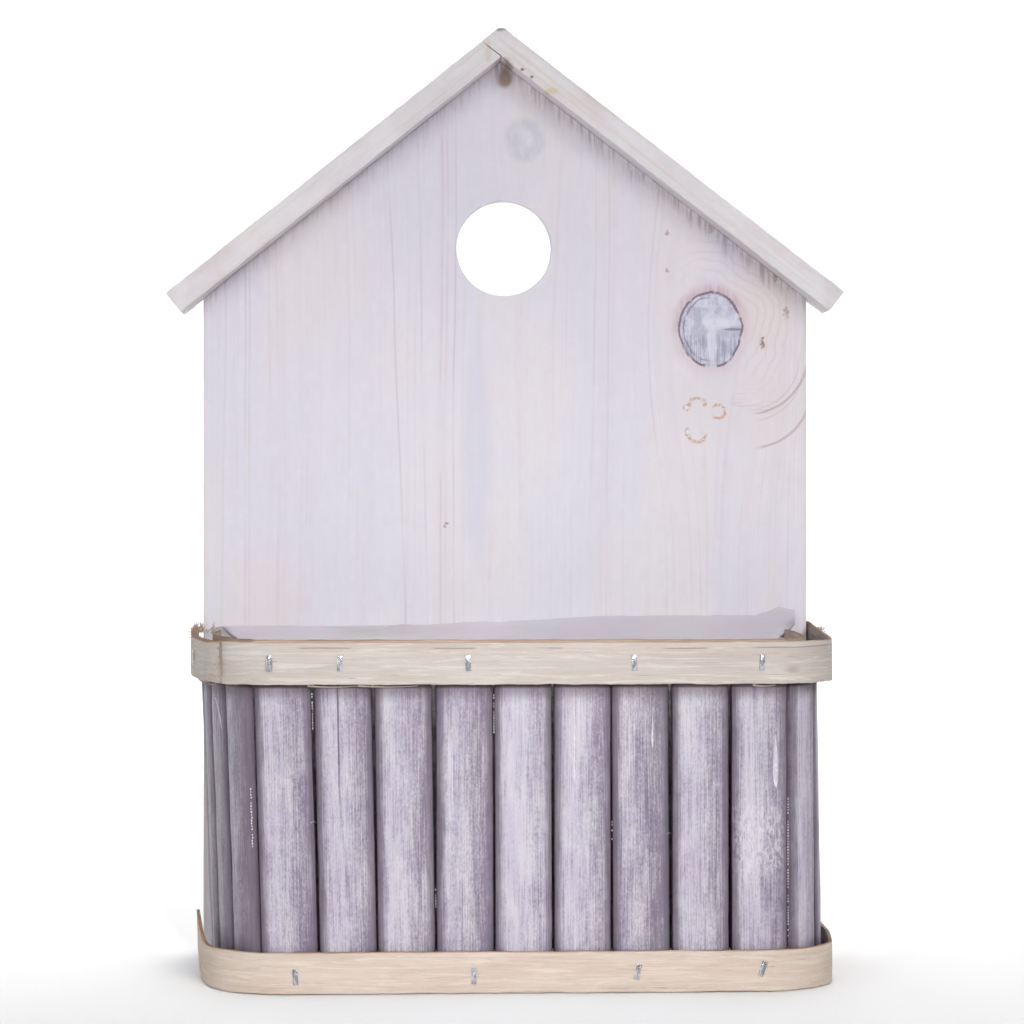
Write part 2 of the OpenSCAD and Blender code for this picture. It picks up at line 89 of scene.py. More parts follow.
class Finish:
    """Lays out the nodes of one finish."""

    def __init__(self, name, rough=0.7, specular=0.3):
        self.material = bpy.data.materials.new(name)
        self.material.use_nodes = True
        self.tree = self.material.node_tree
        self.shader = self.tree.nodes["Principled BSDF"]
        self.shader.inputs["Roughness"].default_value = rough
        self.shader.inputs["Specular IOR Level"].default_value = specular
        self.colour = None

    def node(self, kind, inputs, **settings):
        """Adds a node; an input is another node's output, a plain value, or None to leave it."""
        made = self.tree.nodes.new(kind)
        for name, value in settings.items():
            setattr(made, name, value)
        for key, value in inputs.items():
            if isinstance(value, bpy.types.NodeSocket):
                self.tree.links.new(value, made.inputs[key])
            elif value is not None:
                made.inputs[key].default_value = value
        return made

    def places(self):
        return self.node("ShaderNodeTexCoord", {}).outputs["Object"]

    def surface(self, name="grain"):
        return self.node("ShaderNodeUVMap", {}, uv_map=name).outputs["UV"]

    def attribute(self, name):
        return self.node("ShaderNodeAttribute", {}, attribute_name=name).outputs["Fac"]

    def split(self, vector):
        parts = self.node("ShaderNodeSeparateXYZ", {0: vector}).outputs
        return parts[0], parts[1], parts[2]

    def join(self, x, y, z=0.0):
        return self.node("ShaderNodeCombineXYZ", {0: x, 1: y, 2: z}).outputs[0]

    def calc(self, operation, a, b=None):
        return self.node("ShaderNodeMath", {0: a, 1: b}, operation=operation).outputs[0]

    def sum(self, total, *others):
        for other in others:
            total = self.calc("ADD", total, other)
        return total

    def times(self, product, *others):
        for other in others:
            product = self.calc("MULTIPLY", product, other)
        return product

    def less(self, a, b):
        return self.calc("SUBTRACT", a, b)

    def apart(self, a, b):
        """How far a is from b, either way."""
        return self.calc("ABSOLUTE", self.less(a, b))

    def swing(self, noise_value, reach):
        """Noise turned to swing both ways about nothing."""
        return self.times(self.less(noise_value, 0.5), reach)

    def fade(self, value, start, stop, low=0.0, high=1.0):
        """low up to start, high from stop on, and a smooth change between."""
        return self.node("ShaderNodeMapRange", {0: value, 1: start, 2: stop, 3: low, 4: high},
                         interpolation_type="SMOOTHSTEP").outputs[0]

    def cloud(self, vector, scale, detail=3.0, rough=0.55, warp=0.0):
        return self.node("ShaderNodeTexNoise",
                         {"Vector": vector, "Scale": scale, "Detail": detail, "Roughness": rough,
                          "Distortion": warp}).outputs["Fac"]

    def stretched(self, vector, x, y, z, detail=3.0, rough=0.55, warp=0.0):
        """Noise with its own number of waves to the metre along each axis."""
        scaled = self.node("ShaderNodeVectorMath", {0: vector, 1: (x, y, z)}, operation="MULTIPLY")
        return self.cloud(scaled.outputs[0], 1.0, detail, rough, warp)

    def blend(self, share, under, over):
        return self.node("ShaderNodeMix", {0: share, 6: under, 7: over}, data_type="RGBA",
                         clamp_factor=True).outputs[2]

    def coat(self, share, tone):
        """Lays a share of another tone over the colour so far."""
        self.colour = self.blend(share, self.colour, tone)

    def round_spot(self, x, z, middle, wide, high, ragged=None):
        """Distance from a spot's middle: 1 on an ellipse that is wide by high, in millimetres."""
        across = self.times(self.less(x, middle[0] * MM), 2 / (wide * MM))
        up = self.times(self.less(z, middle[1] * MM), 2 / (high * MM))
        length = self.calc("SQRT", self.sum(self.times(across, across), self.times(up, up)))
        return length if ragged is None else self.sum(length, ragged)

    def paint(self, colour):
        self.tree.links.new(colour, self.shader.inputs["Base Color"])

    def roughen(self, rough):
        self.tree.links.new(rough, self.shader.inputs["Roughness"])

    def relief(self, height, depth):
        """Raises the surface by depth metres where height is 1."""
        bump = self.node("ShaderNodeBump", {"Height": height, "Distance": depth, "Strength": 1.0})
        self.tree.links.new(bump.outputs[0], self.shader.inputs["Normal"])


def arc(f, x, z, middle, wide, high, half_line, ragged, gates):
    """How much a thin ellipse line covers: half_line is half its width as a share of the radius.
    Each gate (axis, start, stop), in millimetres, fades the line in along one axis."""
    off = f.apart(f.round_spot(x, z, middle, wide, high, ragged), 1.0)
    cover = f.fade(off, half_line * 0.4, half_line * 1.6, 1.0, 0.0)
    for axis, start, stop in gates:
        coordinate = x if axis == "x" else z
        low, high = (0.0, 1.0) if start < stop else (1.0, 0.0)
        cover = f.times(cover, f.fade(coordinate, min(start, stop) * MM, max(start, stop) * MM, low, high))
    return cover


def whitewash_on_pine():
    """The board: thin lavender-white wash over flat-sawn pine with two knots. Spots and lines are placed by
    their middles in millimetres, with their full width and height."""
    f = Finish("whitewash_on_pine", rough=0.66, specular=0.2)
    place = f.places()
    x, y, z = f.split(place)

    # Knots, and how the grain bends round them
    ragged = f.swing(f.cloud(place, 120, 3), 0.35)
    big = f.round_spot(x, z, (97.3, 296.2), 31, 36.5, f.times(ragged, 0.6))
    small = f.round_spot(x, z, (9, 386), 21, 22, ragged)
    bent = x
    for middle, wide, push in (((97.5, 297), 62, 0.85), ((9, 386), 30, 0.6)):
        near = f.round_spot(x, z, middle, wide, wide * 2.4)
        pull = f.times(f.fade(near, 0.0, 1.6, 1.0, 0.0), push)
        bent = f.less(bent, f.times(pull, f.less(x, middle[0] * MM)))
    drift = f.swing(f.stretched(place, 9, 9, 4, 2), 0.008)
    grain_x = f.sum(bent, drift)
    grain = f.join(grain_x, y, z)

    fine = f.stretched(grain, 1500, 40, 14, 3, 0.6)
    lines = f.stretched(grain, 520, 40, 4, 4, 0.62)
    bands = f.stretched(grain, 130, 40, 2.0, 3, 0.5)
    patches = f.stretched(place, 45, 45, 22, 4, 0.62)
    mottle = f.stretched(place, 300, 300, 150, 3, 0.6)
    wide_patches = f.stretched(place, 17, 17, 6, 2)

    wash = f.blend(f.fade(wide_patches, 0.4, 0.6), shade(224, 219, 224), shade(219, 216, 228))
    wood = f.blend(f.fade(patches, 0.35, 0.65), shade(205, 192, 203), shade(214, 202, 198))
    thin = f.sum(f.times(f.fade(lines, 0.52, 0.74), 0.36), f.times(f.fade(bands, 0.46, 0.72), 0.16))
    thin = f.sum(thin, f.times(f.fade(fine, 0.52, 0.75), 0.14))
    thin = f.times(thin, f.fade(patches, 0.25, 0.6, 0.35, 1.2))
    f.colour = f.blend(thin, wash, wood)
    f.coat(f.times(f.fade(mottle, 0.5, 0.75), 0.28), shade(230, 226, 233))
    f.coat(f.times(f.fade(mottle, 0.5, 0.3), 0.12), shade(208, 199, 208))

    # Large soft tints: warm low on the left and round the big knot, cool beside the left seam
    for middle, wide, high, tone, strength in (((-112, 170), 44, 62, shade(226, 212, 208), 0.3),
                                               ((-14, 240), 15, 118, shade(207, 206, 224), 0.5),
                                               ((118, 306), 44, 46, shade(224, 213, 208), 0.5),
                                               ((112, 262), 60, 44, shade(220, 212, 212), 0.4)):
        spot = f.round_spot(x, z, middle, wide, high, f.times(ragged, 0.9))
        f.coat(f.fade(spot, 0.5, 1.2, strength, 0.0), tone)

    # Single dark grain lines: place across and how far they lean
    broken = f.fade(f.stretched(place, 60, 60, 16, 2), 0.36, 0.56, 0.15, 1.0)
    for at, lean, dark in ((-123.9, 0.0, 0.34), (-122.0, 0.0, 0.28), (-109, 0.0, 0.2),
                           (-51.2, -0.041, 0.42), (-39.2, -0.023, 0.32), (-31, 0.0, 0.4),
                           (-28.4, 0.0, 0.3), (-24.6, 0.0, 0.45),
                           (41, 0.01, 0.2), (48.3, 0.0, 0.24), (75.6, 0.0, 0.3), (-134, 0.01, 0.2),
                           (133, 0.01, 0.22)):
        slanted = f.less(grain_x, f.times(f.less(z, 0.241), lean))
        off = f.apart(slanted, at * MM)
        f.coat(f.times(f.fade(off, 0.00015, 0.0008, 1.0, 0.0), broken, dark * 0.6), shade(174, 152, 160))

    # Growth rings that swirl round the big knot, and the two that sweep past it to the right edge
    ring = f.calc("SINE", f.times(f.sum(big, f.times(f.cloud(place, 40, 2), 0.9)), 26))
    reach = f.times(f.fade(big, 1.05, 1.3), f.fade(big, 2.0, 3.0, 1.0, 0.0))
    side = f.fade(f.sum(x, f.times(f.less(z, 0.296), 0.5)), 0.09, 0.125, 0.1, 1.0)
    f.coat(f.times(f.fade(ring, 0.4, 1.0), f.times(reach, side), 0.26), shade(208, 184, 182))
    for middle, wide, line, dark in (((114.6, 285.3), 58.6, 0.018, 0.6), ((115.6, 269.7), 60, 0.02, 0.55),
                                     ((114.6, 283), 50, 0.014, 0.25), ((115, 279), 53, 0.014, 0.25)):
        sweep = arc(f, x, z, middle, wide, wide, line, f.times(ragged, 0.12),
                    (("z", middle[1] + 4, middle[1] - 8), ("x", middle[0] + 1, middle[0] + 9)))
        f.coat(f.times(sweep, dark), shade(176, 150, 150))
    # Fine ripples across the grain below the knot
    ripples = f.fade(f.stretched(place, 60, 40, 1300, 3, 0.6, 0.8), 0.54, 0.66)
    zone = f.fade(f.round_spot(x, z, (119, 262), 26, 12, ragged), 0.5, 1.2, 1.0, 0.0)
    f.coat(f.times(ripples, zone, 0.6), shade(190, 176, 182))

    # The big knot: bruised halo, blue-grey striped heart, smears of wash, dark maroon line
    upper_left = f.fade(f.less(f.less(z, 0.296), f.times(f.less(x, 0.097), 0.5)),
                        -0.012, 0.014, 0.25, 1.0)
    streaky = f.fade(f.stretched(place, 900, 60, 110, 3, 0.6), 0.34, 0.62, 0.35, 1.0)
    halo = f.times(f.fade(big, 0.98, 1.3, 0.75, 0.0), f.times(upper_left, streaky))
    f.coat(halo, shade(178, 142, 160))
    f.coat(f.fade(big, 1.0, 1.5, 0.3, 0.0), shade(214, 196, 204))
    stripes = f.fade(f.stretched(place, 1400, 60, 60, 3, 0.65), 0.42, 0.62)
    low = f.fade(z, 0.289, 0.298, 1.0, 0.0)
    heart = f.blend(f.fade(f.stretched(place, 230, 60, 190, 4, 0.7), 0.38, 0.62), shade(184, 184, 202),
                    shade(212, 213, 226))
    heart = f.blend(f.times(stripes, f.fade(low, 0, 1, 0.12, 0.62)), heart, shade(140, 136, 160))
    for middle, wide, high in (((106.8, 299.4), 13, 4.2), ((111, 303.5), 5, 5), ((97.8, 289), 5.2, 25),
                               ((99, 299), 15, 7)):
        smear = f.round_spot(x, z, middle, wide, high, f.times(ragged, 1.6))
        smeared = f.times(f.fade(smear, 0.4, 1.2, 0.75, 0.0), f.fade(mottle, 0.3, 0.5, 0.4, 1.0))
        heart = f.blend(smeared, heart, shade(221, 220, 230))
    f.coat(f.fade(big, 0.93, 1.0, 1.0, 0.0), heart)
    gap_below = f.fade(f.round_spot(x, z, (97.4, 277.5), 7, 9), 0.7, 1.0)
    rim_line = f.fade(f.apart(big, 0.96), 0.012, 0.05, 1.0, 0.0)
    second = f.fade(f.apart(big, 0.83), 0.01, 0.03, 1.0, 0.0)
    second = f.times(second, f.fade(x, 0.092, 0.1, 0.7, 0.0))
    dash = f.fade(f.stretched(place, 260, 60, 260, 2), 0.32, 0.5, 0.35, 1.0)
    rim = f.times(f.sum(rim_line, second), dash, gap_below)
    f.coat(f.times(rim, 0.85), shade(116, 88, 108))
    notch = f.round_spot(x, z, (108.4, 296.3), 10, 1.3, f.times(ragged, 0.8))
    f.coat(f.fade(notch, 0.6, 1.2, 0.7, 0.0), shade(128, 114, 134))

    # The small pale knot under the ridge
    f.coat(f.times(f.fade(small, 0.7, 1.1, 1.0, 0.0), f.fade(mottle, 0.35, 0.6, 0.3, 0.75)),
           shade(196, 195, 209))
    f.coat(f.times(f.fade(small, 0.15, 0.6, 1.0, 0.0), f.fade(patches, 0.4, 0.6)), shade(224, 222, 232))

    # Rust squiggles, and flecks round the knots, on the front only
    on_front = f.fade(y, FACE_Y + 2 * MM, FACE_Y + 5 * MM, 1.0, 0.0)
    crumbs = f.fade(f.cloud(place, 620, 3, 0.6), 0.4, 0.56, 0.1, 1.0)
    for middle, wide, high, gates in (((90.6, 260.3), 7.5, 6, (("z", 259, 260.5),)),
                                      ((85.8, 259.2), 2.6, 2.6, ()),
                                      ((100.4, 257.2), 7, 5.6, (("x", 97.5, 99),)),
                                      ((90.6, 246.6), 8.6, 7, (("z", 247, 245.5),)),
                                      ((86.4, 247.4), 3, 4, (("x", 87.5, 86),))):
        squiggle = arc(f, x, z, middle, wide, high, 0.24, f.times(ragged, 3.2), gates)
        f.coat(f.times(squiggle, crumbs, f.times(on_front, 0.85)), shade(198, 156, 130))
    for middle, wide, high, dark in (((122, 290), 1.8, 5.4, 0.85), ((133.3, 304.2), 2.2, 5.5, 0.5),
                                     ((128.5, 321.5), 2.6, 4, 0.6), ((110, 336.5), 3, 2.2, 0.5),
                                     ((97, 345.5), 3.2, 6, 0.45), ((76.5, 342), 1.4, 3, 0.6),
                                     ((76.5, 324), 1.4, 3, 0.6), ((137, 316), 2, 3, 0.5),
                                     ((-28.5, 204), 2.6, 1.2, 0.7), ((-29, 203), 1, 2, 0.6)):
        spot = f.round_spot(x, z, middle, wide * 1.25, high, f.times(f.less(crumbs, 0.6), -0.9))
        f.coat(f.fade(spot, 0.4, 1.2, dark, 0.0), shade(140, 110, 110))
    # Painted shade, dark brown, in the nook under the ridge
    nook = f.round_spot(x, z, (-0.5, 415), 8, 11, f.times(ragged, 2.0))
    f.coat(f.fade(nook, 0.5, 1.1, 0.8, 0.0), shade(150, 116, 92))

    # Short brushed strokes where the brush stopped under the roof strips, darkened as painted shadow under
    # each strip, more under the right one
    strokes = f.fade(f.stretched(place, 640, 60, 45, 3, 0.7), 0.4, 0.66)
    for hand, pitch, dark in ((1, RIGHT_PITCH, 0.55), (-1, LEFT_PITCH, 0.25)):
        drop = f.sum(f.times(f.less(x, RIDGE.x), -hand * math.sin(pitch)),
                     f.times(f.less(z, RIDGE.z), -math.cos(pitch)))
        ragged_drop = f.sum(drop, f.swing(f.stretched(place, 260, 60, 30, 2), 0.012))
        near = f.fade(ragged_drop, STRIP_T, STRIP_T + 0.0085, 1.0, 0.0)
        f.coat(f.times(near, strokes, f.times(on_front, dark)), shade(146, 126, 134))

    # Cut edges: raw, warmer and a little darker where the wash is thin
    edge = f.fade(f.calc("ABSOLUTE", x), 0.1402, 0.1432, 0.0, 0.4)
    f.coat(edge, shade(214, 200, 190))
    f.paint(f.colour)
    f.roughen(f.fade(mottle, 0.3, 0.7, 0.74, 0.56))
    height = f.sum(f.times(lines, 0.6), f.sum(f.times(fine, 0.25), f.times(mottle, 0.3)))
    f.relief(f.sum(height, f.times(rim, -0.8)), 0.0002)
    return f.material


def whitewash_on_strip(name, pitch):
    """A roof strip: rough-sawn pine under a worn white wash, its grain along the strip."""
    f = Finish(name, rough=0.7, specular=0.2)
    place = f.node("ShaderNodeMapping", {"Vector": f.places(), "Rotation": (0, pitch, 0)}).outputs[0]
    fine = f.stretched(place, 14, 900, 900, 3, 0.6)
    lines = f.stretched(place, 7, 260, 330, 4, 0.6)
    patches = f.stretched(place, 28, 60, 60, 4, 0.65)
    saw = f.stretched(place, 700, 60, 60, 2, 0.5)
    wash = f.blend(f.fade(patches, 0.35, 0.65), shade(222, 217, 221), shade(230, 227, 231))
    bare = f.times(f.fade(lines, 0.5, 0.7), 0.42)
    bare = f.sum(bare, f.times(f.fade(patches, 0.56, 0.72), 0.25))
    f.colour = f.blend(bare, wash, shade(214, 196, 182))
    f.coat(f.times(f.fade(fine, 0.55, 0.75), 0.3), shade(192, 172, 168))
    pink = f.fade(f.stretched(place, 18, 40, 40, 2), 0.58, 0.72, 0.0, 0.35)
    f.coat(pink, shade(214, 192, 190))
    x, y, z = f.split(f.places())
    # Raw wood at the sawn ends, at the ridge and round the chip under the right strip, and painted shade,
    # dark brown, in the corner under the ridge
    eave = f.fade(f.apart(x, RIDGE.x), 0.150, 0.1545)
    f.coat(f.times(eave, 0.25), shade(206, 194, 186))
    rough_edge = f.swing(f.cloud(f.places(), 200, 2), 1.2)
    for middle, wide, high, tone, strength in (((-3.0, 436.5), 6, 4, shade(132, 124, 122), 0.7),
                                               ((-9, 426), 3, 12, shade(212, 192, 160), 0.5),
                                               # painted shade, dark brown, in the corner under the ridge
                                               ((-1.5, 418.5), 9, 8, shade(128, 98, 72), 0.75),
                                               ((21, 407), 8, 3.4, shade(214, 196, 162), 0.7),
                                               ((7, 417), 2, 1.6, shade(122, 96, 80), 0.8),
                                               ((11.5, 413.5), 1.6, 1.4, shade(122, 96, 80), 0.8)):
        spot = f.round_spot(x, z, middle, wide, high, rough_edge)
        f.coat(f.fade(spot, 0.6, 1.15, strength, 0.0), tone)
    f.paint(f.colour)
    height = f.sum(f.times(lines, 0.6), f.sum(f.times(fine, 0.4), f.times(saw, 0.3)))
    f.relief(height, 0.0005)
    return f.material


def stained_slat():
    """A slat: purple-grey stain with dry-brushed white, darker at its rounded edges, with painted shade in
    its gaps and under the rim band.
    """
    f = Finish("stained_slat", rough=0.6, specular=0.28)
    grain = f.surface()
    across = f.attribute("across")
    along = f.attribute("along")
    tone = f.attribute("tone")
    rough_patch = f.attribute("rough_patch")
    crack = f.attribute("crack")
    x, y, z = f.split(f.places())
    fine = f.stretched(grain, 1700, 34, 1, 3, 0.65)
    streaks = f.stretched(grain, 640, 12, 1, 3, 0.6, 0.2)
    weave = f.stretched(grain, 1300, 620, 1, 3, 0.7)
    blotch = f.stretched(grain, 300, 190, 1, 3, 0.6, 0.5)
    clouds = f.stretched(grain, 110, 26, 1, 3, 0.6, 0.5)

    # Lighter on the left third of each slat and darker towards its right edge: partly thicker wash, partly
    # painted light from the left
    spread = f.sum(f.fade(across, -0.95, -0.5, -0.3, 0.2), f.fade(across, -0.35, 0.85, 0.0, -0.5))
    cover = f.sum(f.swing(clouds, 0.45), f.swing(streaks, 0.75))
    cover = f.sum(cover, f.swing(fine, 1.6))
    cover = f.sum(cover, f.swing(weave, 1.1))
    cover = f.sum(cover, f.swing(blotch, 0.6))
    cover = f.sum(cover, tone, spread)
    cover = f.less(cover, f.fade(along, 0.0, 0.2, 0.26, 0.0))
    stain = f.blend(f.fade(clouds, 0.4, 0.6), shade(114, 105, 122), shade(122, 114, 126))
    brush = f.blend(f.fade(clouds, 0.4, 0.65), shade(184, 178, 193), shade(194, 189, 198))
    f.colour = f.blend(f.fade(cover, -0.05, 1.05), stain, brush)
    f.coat(f.fade(weave, 0.66, 0.78, 0.0, 0.3), shade(214, 208, 218))
    foot = f.fade(along, 0.0, 0.1, 0.3, 0.0)
    f.coat(foot, shade(132, 114, 112))
    # Rust-pink stains that run down, and the rubbed patch on one slat
    pink = f.times(f.fade(f.stretched(grain, 210, 16, 1, 3), 0.58, 0.74), 0.22)
    f.coat(pink, shade(172, 150, 166))
    speck = f.fade(f.stretched(grain, 700, 260, 1, 3, 0.7, 0.8), 0.45, 0.6)
    f.coat(f.times(rough_patch, f.times(speck, 0.45)), shade(220, 213, 220))
    # The rounded edges are grey from dark stain and painted shade, and the sides in the gap are painted
    # almost black as shade between the slats
    rim = f.calc("ABSOLUTE", across)
    edge_stain_and_shade = f.sum(rim, f.swing(weave, 0.3))
    f.coat(f.fade(edge_stain_and_shade, 0.66, 0.95, 0.0, 0.75), shade(98, 88, 100))
    f.coat(f.fade(rim, 0.95, 0.995), shade(36, 20, 27))
    # Painted shadow of the rim band, with some dark stain, right under it
    f.coat(f.fade(z, RIM_FOOT - 0.009, RIM_FOOT - 0.002, 0.0, 0.6), shade(88, 72, 80))
    f.coat(f.fade(z, RIM_FOOT - 0.0022, RIM_FOOT - 0.0008, 0.0, 0.85), shade(52, 36, 38))
    f.coat(crack, shade(58, 44, 52))
    f.paint(f.colour)
    f.roughen(f.fade(cover, 0.2, 0.9, 0.5, 0.68))
    height = f.sum(f.times(fine, 0.5), f.sum(f.times(weave, 0.5), f.times(streaks, 0.5)))
    f.relief(height, 0.0003)
    return f.material


def peeled_veneer(name, light, warm, crack_dark=0.6):
    """Rotary-cut veneer: cream, with hair-fine fibres along the band and browned edges."""
    f = Finish(name, rough=0.7, specular=0.2)
    grain = f.surface()
    fray = f.attribute("fray")
    brown = f.attribute("brown")
    up = f.attribute("up")
    hair = f.stretched(grain, 24, 1500, 1, 3, 0.62)
    lines = f.stretched(grain, 8, 620, 1, 4, 0.6, 0.25)
    cloudy = f.stretched(grain, 20, 90, 1, 4, 0.6)
    fleck = f.stretched(grain, 60, 900, 1, 2, 0.5)
    upright = f.stretched(grain, 420, 90, 1, 3, 0.6)
    f.colour = f.blend(f.fade(cloudy, 0.35, 0.65), light, warm)
    f.coat(f.times(f.fade(lines, 0.52, 0.72), 0.42), shade(192, 176, 172))
    f.coat(f.times(f.fade(hair, 0.55, 0.76), 0.42), shade(178, 160, 158))
    f.coat(f.times(f.fade(fleck, 0.66, 0.76), 0.5), shade(150, 128, 122))
    f.coat(f.times(f.fade(hair, 0.42, 0.28), 0.4), shade(236, 230, 226))
    f.coat(f.times(f.fade(upright, 0.58, 0.72), 0.14), shade(190, 172, 168))
    chips = f.stretched(grain, 34, 460, 1, 5, 0.7, 0.7)
    f.coat(f.times(f.fade(chips, 0.54, 0.6), 0.35), shade(226, 219, 210))
    f.coat(f.times(f.fade(chips, 0.44, 0.38), 0.3), shade(178, 158, 146))
    # A broken dark crack below the top edge
    course = f.sum(up, f.swing(f.stretched(grain, 14, 1, 1, 2), 0.1))
    crack = f.fade(f.apart(course, 0.86), 0.008, 0.022, 1.0, 0.0)
    crack = f.times(crack, f.fade(f.stretched(grain, 26, 1, 1, 2, 0.6), 0.5, 0.56))
    f.coat(f.times(crack, crack_dark), shade(128, 104, 100))
    # A thin orange-brown line along the top edge, and stains where the end is frayed
    top_line = f.times(f.fade(up, 0.965, 0.99), f.fade(cloudy, 0.3, 0.5, 0.4, 0.8))
    f.coat(top_line, shade(182, 146, 120))
    f.coat(f.fade(up, 0.03, 0.0, 0.0, 0.4), shade(150, 122, 108))
    stain = f.times(f.fade(f.stretched(grain, 90, 200, 1, 4, 0.65), 0.44, 0.64), fray)
    f.coat(f.times(stain, 0.6), shade(178, 146, 120))
    f.coat(f.times(brown, f.fade(cloudy, 0.3, 0.6, 0.6, 1.0)), shade(118, 88, 70))
    f.paint(f.colour)
    height = f.sum(f.times(hair, 0.5), f.sum(f.times(lines, 0.7), f.times(chips, 0.8)))
    f.relief(height, 0.0007)
    return f.material


def plywood():
    """The floor plate: pale plies with darker glue lines on its edge."""
    f = Finish("plain_plywood", rough=0.75, specular=0.2)
    place = f.places()
    x, y, z = f.split(place)
    grain = f.stretched(place, 14, 320, 40, 4, 0.6)
    # One light and one dark ply to every 2 mm
    ply = f.fade(f.calc("SINE", f.times(z, 3141.5)), 0.2, 0.9)
    f.colour = f.blend(f.fade(grain, 0.35, 0.68), shade(208, 184, 150), shade(184, 154, 118))
    f.coat(f.times(ply, 0.25), shade(142, 108, 80))
    f.paint(f.colour)
    f.relief(grain, 0.0003)
    return f.material


def clear_film():
    """The liner: thin, slightly milky film that shines along its creases."""
    f = Finish("liner_film", rough=0.22, specular=0.6)
    place = f.places()
    milky = f.stretched(place, 9, 9, 150, 2, 0.5, 0.4)
    x, y, z = f.split(place)
    # Painted shade: below the rim the outside is painted near black, as if unlit; the inside stays clear
    normal = f.node("ShaderNodeNewGeometry", {}).outputs["Normal"]
    facing = f.node("ShaderNodeVectorMath", {0: normal, 1: place}, operation="DOT_PRODUCT")
    inside = f.fade(facing.outputs["Value"], -4 * MM, 4 * MM, 1.0, 0.0)
    lit = f.sum(f.fade(z, RIM_FOOT - 4 * MM, RIM_FOOT + 3 * MM), inside)
    milk = f.blend(f.fade(milky, 0.36, 0.62), shade(224, 217, 228), shade(246, 241, 246))
    f.paint(f.blend(lit, shade(52, 40, 46), milk))
    f.tree.links.new(f.fade(milky, 0.35, 0.65, 0.7, 0.5), f.shader.inputs["Alpha"])
    crumple = f.stretched(place, 50, 50, 90, 3, 0.6, 0.4)
    f.relief(crumple, 0.0008)
    return f.material


def metal(name, colour, rough):
    """Drawn wire with a dulled coat and fine scratches along it."""
    f = Finish(name, rough=rough, specular=0.5)
    f.shader.inputs["Metallic"].default_value = 0.9
    place = f.places()
    worn = f.cloud(place, 700, 3, 0.6)
    scratch = f.stretched(place, 3000, 3000, 350, 2)
    twist = f.fade(f.stretched(place, 900, 900, 260, 2, 0.5, 0.6), 0.42, 0.58)
    dull = f.blend(f.fade(worn, 0.35, 0.65), colour, tuple(c * 0.72 for c in colour[:3]) + (1,))
    f.paint(f.blend(f.times(twist, 0.7), dull, tuple(c * 0.3 for c in colour[:3]) + (1,)))
    f.relief(f.sum(f.times(worn, 0.6), f.times(scratch, 0.4)), 0.00008)
    return f.material


def thick_wash(name, thin, full):
    """Wash that gathered in runs and beads and dried glossy."""
    f = Finish(name, rough=0.32, specular=0.5)
    f.paint(f.blend(f.fade(f.cloud(f.places(), 500, 2), 0.4, 0.7), thin, full))
    return f.material


BOARD_WASH = whitewash_on_pine()
LEFT_WASH = whitewash_on_strip("whitewash_on_left_strip", LEFT_PITCH)
RIGHT_WASH = whitewash_on_strip("whitewash_on_right_strip", -RIGHT_PITCH)
SLAT_STAIN = stained_slat()
RIM_VENEER = peeled_veneer("rim_veneer", shade(196, 188, 182), shade(188, 178, 170))
BASE_VENEER = peeled_veneer("base_veneer", shade(211, 197, 184), shade(203, 186, 171), 0.12)
INNER_VENEER = peeled_veneer("inner_veneer", shade(204, 188, 172), shade(192, 172, 152))
PLY = plywood()
FILM = clear_film()
WIRE = metal("galvanised_wire", shade(222, 222, 230), 0.26)
NAIL = metal("nail_steel", shade(150, 150, 155), 0.4)
RUN = thick_wash("paint_run", shade(192, 185, 200), shade(212, 206, 216))
BEAD = thick_wash("wash_bead", shade(226, 220, 227), shade(238, 233, 237))
FIBRE = peeled_veneer("loose_fibre", shade(224, 212, 200), shade(196, 170, 146))


# ---------------------------------------------------------------- mesh tools

def piece(name, bm, finish, nodes=(), crease=35):
    """Makes a shown piece of a finished bmesh; it stands for the nodes."""
    for face in bm.faces:
        face.smooth = True
    mesh = bpy.data.meshes.new(name)
    bm.to_mesh(mesh)
    bm.free()
    mesh.set_sharp_from_angle(angle=math.radians(crease))
    made = bpy.data.objects.new(name, mesh)
    bpy.context.collection.objects.link(made)
    mesh.materials.append(finish)
    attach(made, "root")
    if nodes:
        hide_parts(*nodes)
    return made


def merged(node, flat=0.3):
    """A copy of a node's mesh with its doubles merged and its flat faces whole."""
    bm = bmesh.new()
    bm.from_mesh(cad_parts[node].data)
    bmesh.ops.remove_doubles(bm, verts=bm.verts, dist=1e-6)
    bmesh.ops.dissolve_limit(bm, angle_limit=math.radians(flat), verts=bm.verts, edges=bm.edges)
    return bm


def ease(bm, edges, radius, segments=2):
    """Rounds the edges."""
    bmesh.ops.bevel(bm, geom=edges, offset=radius, offset_type="OFFSET", segments=segments, profile=0.5,
                    affect="EDGES", material=-1, clamp_overlap=True)


def slice_across(bm, start, direction, step, count):
    """Cuts every face at equal steps, so that it can be shaped."""
    for n in range(1, count):
        everything = list(bm.verts) + list(bm.edges) + list(bm.faces)
        bmesh.ops.bisect_plane(bm, geom=everything, dist=1e-7, plane_co=start + direction * step * n,
                               plane_no=direction)


def wave(x, y, z, scale, seed=0.0):
    """Smooth noise from -1 to 1 with scale waves to the metre."""
    return noise.noise(Vector((x * scale + seed, y * scale - seed, z * scale + 2 * seed)))


def only(parts, kind):
    """The vertices, edges or faces among an operator's results."""
    return [part for part in parts if isinstance(part, kind)]


def spans(edge, axis, reach):
    """Whether an edge runs further than reach along one axis."""
    return abs(edge.verts[0].co[axis] - edge.verts[1].co[axis]) > reach


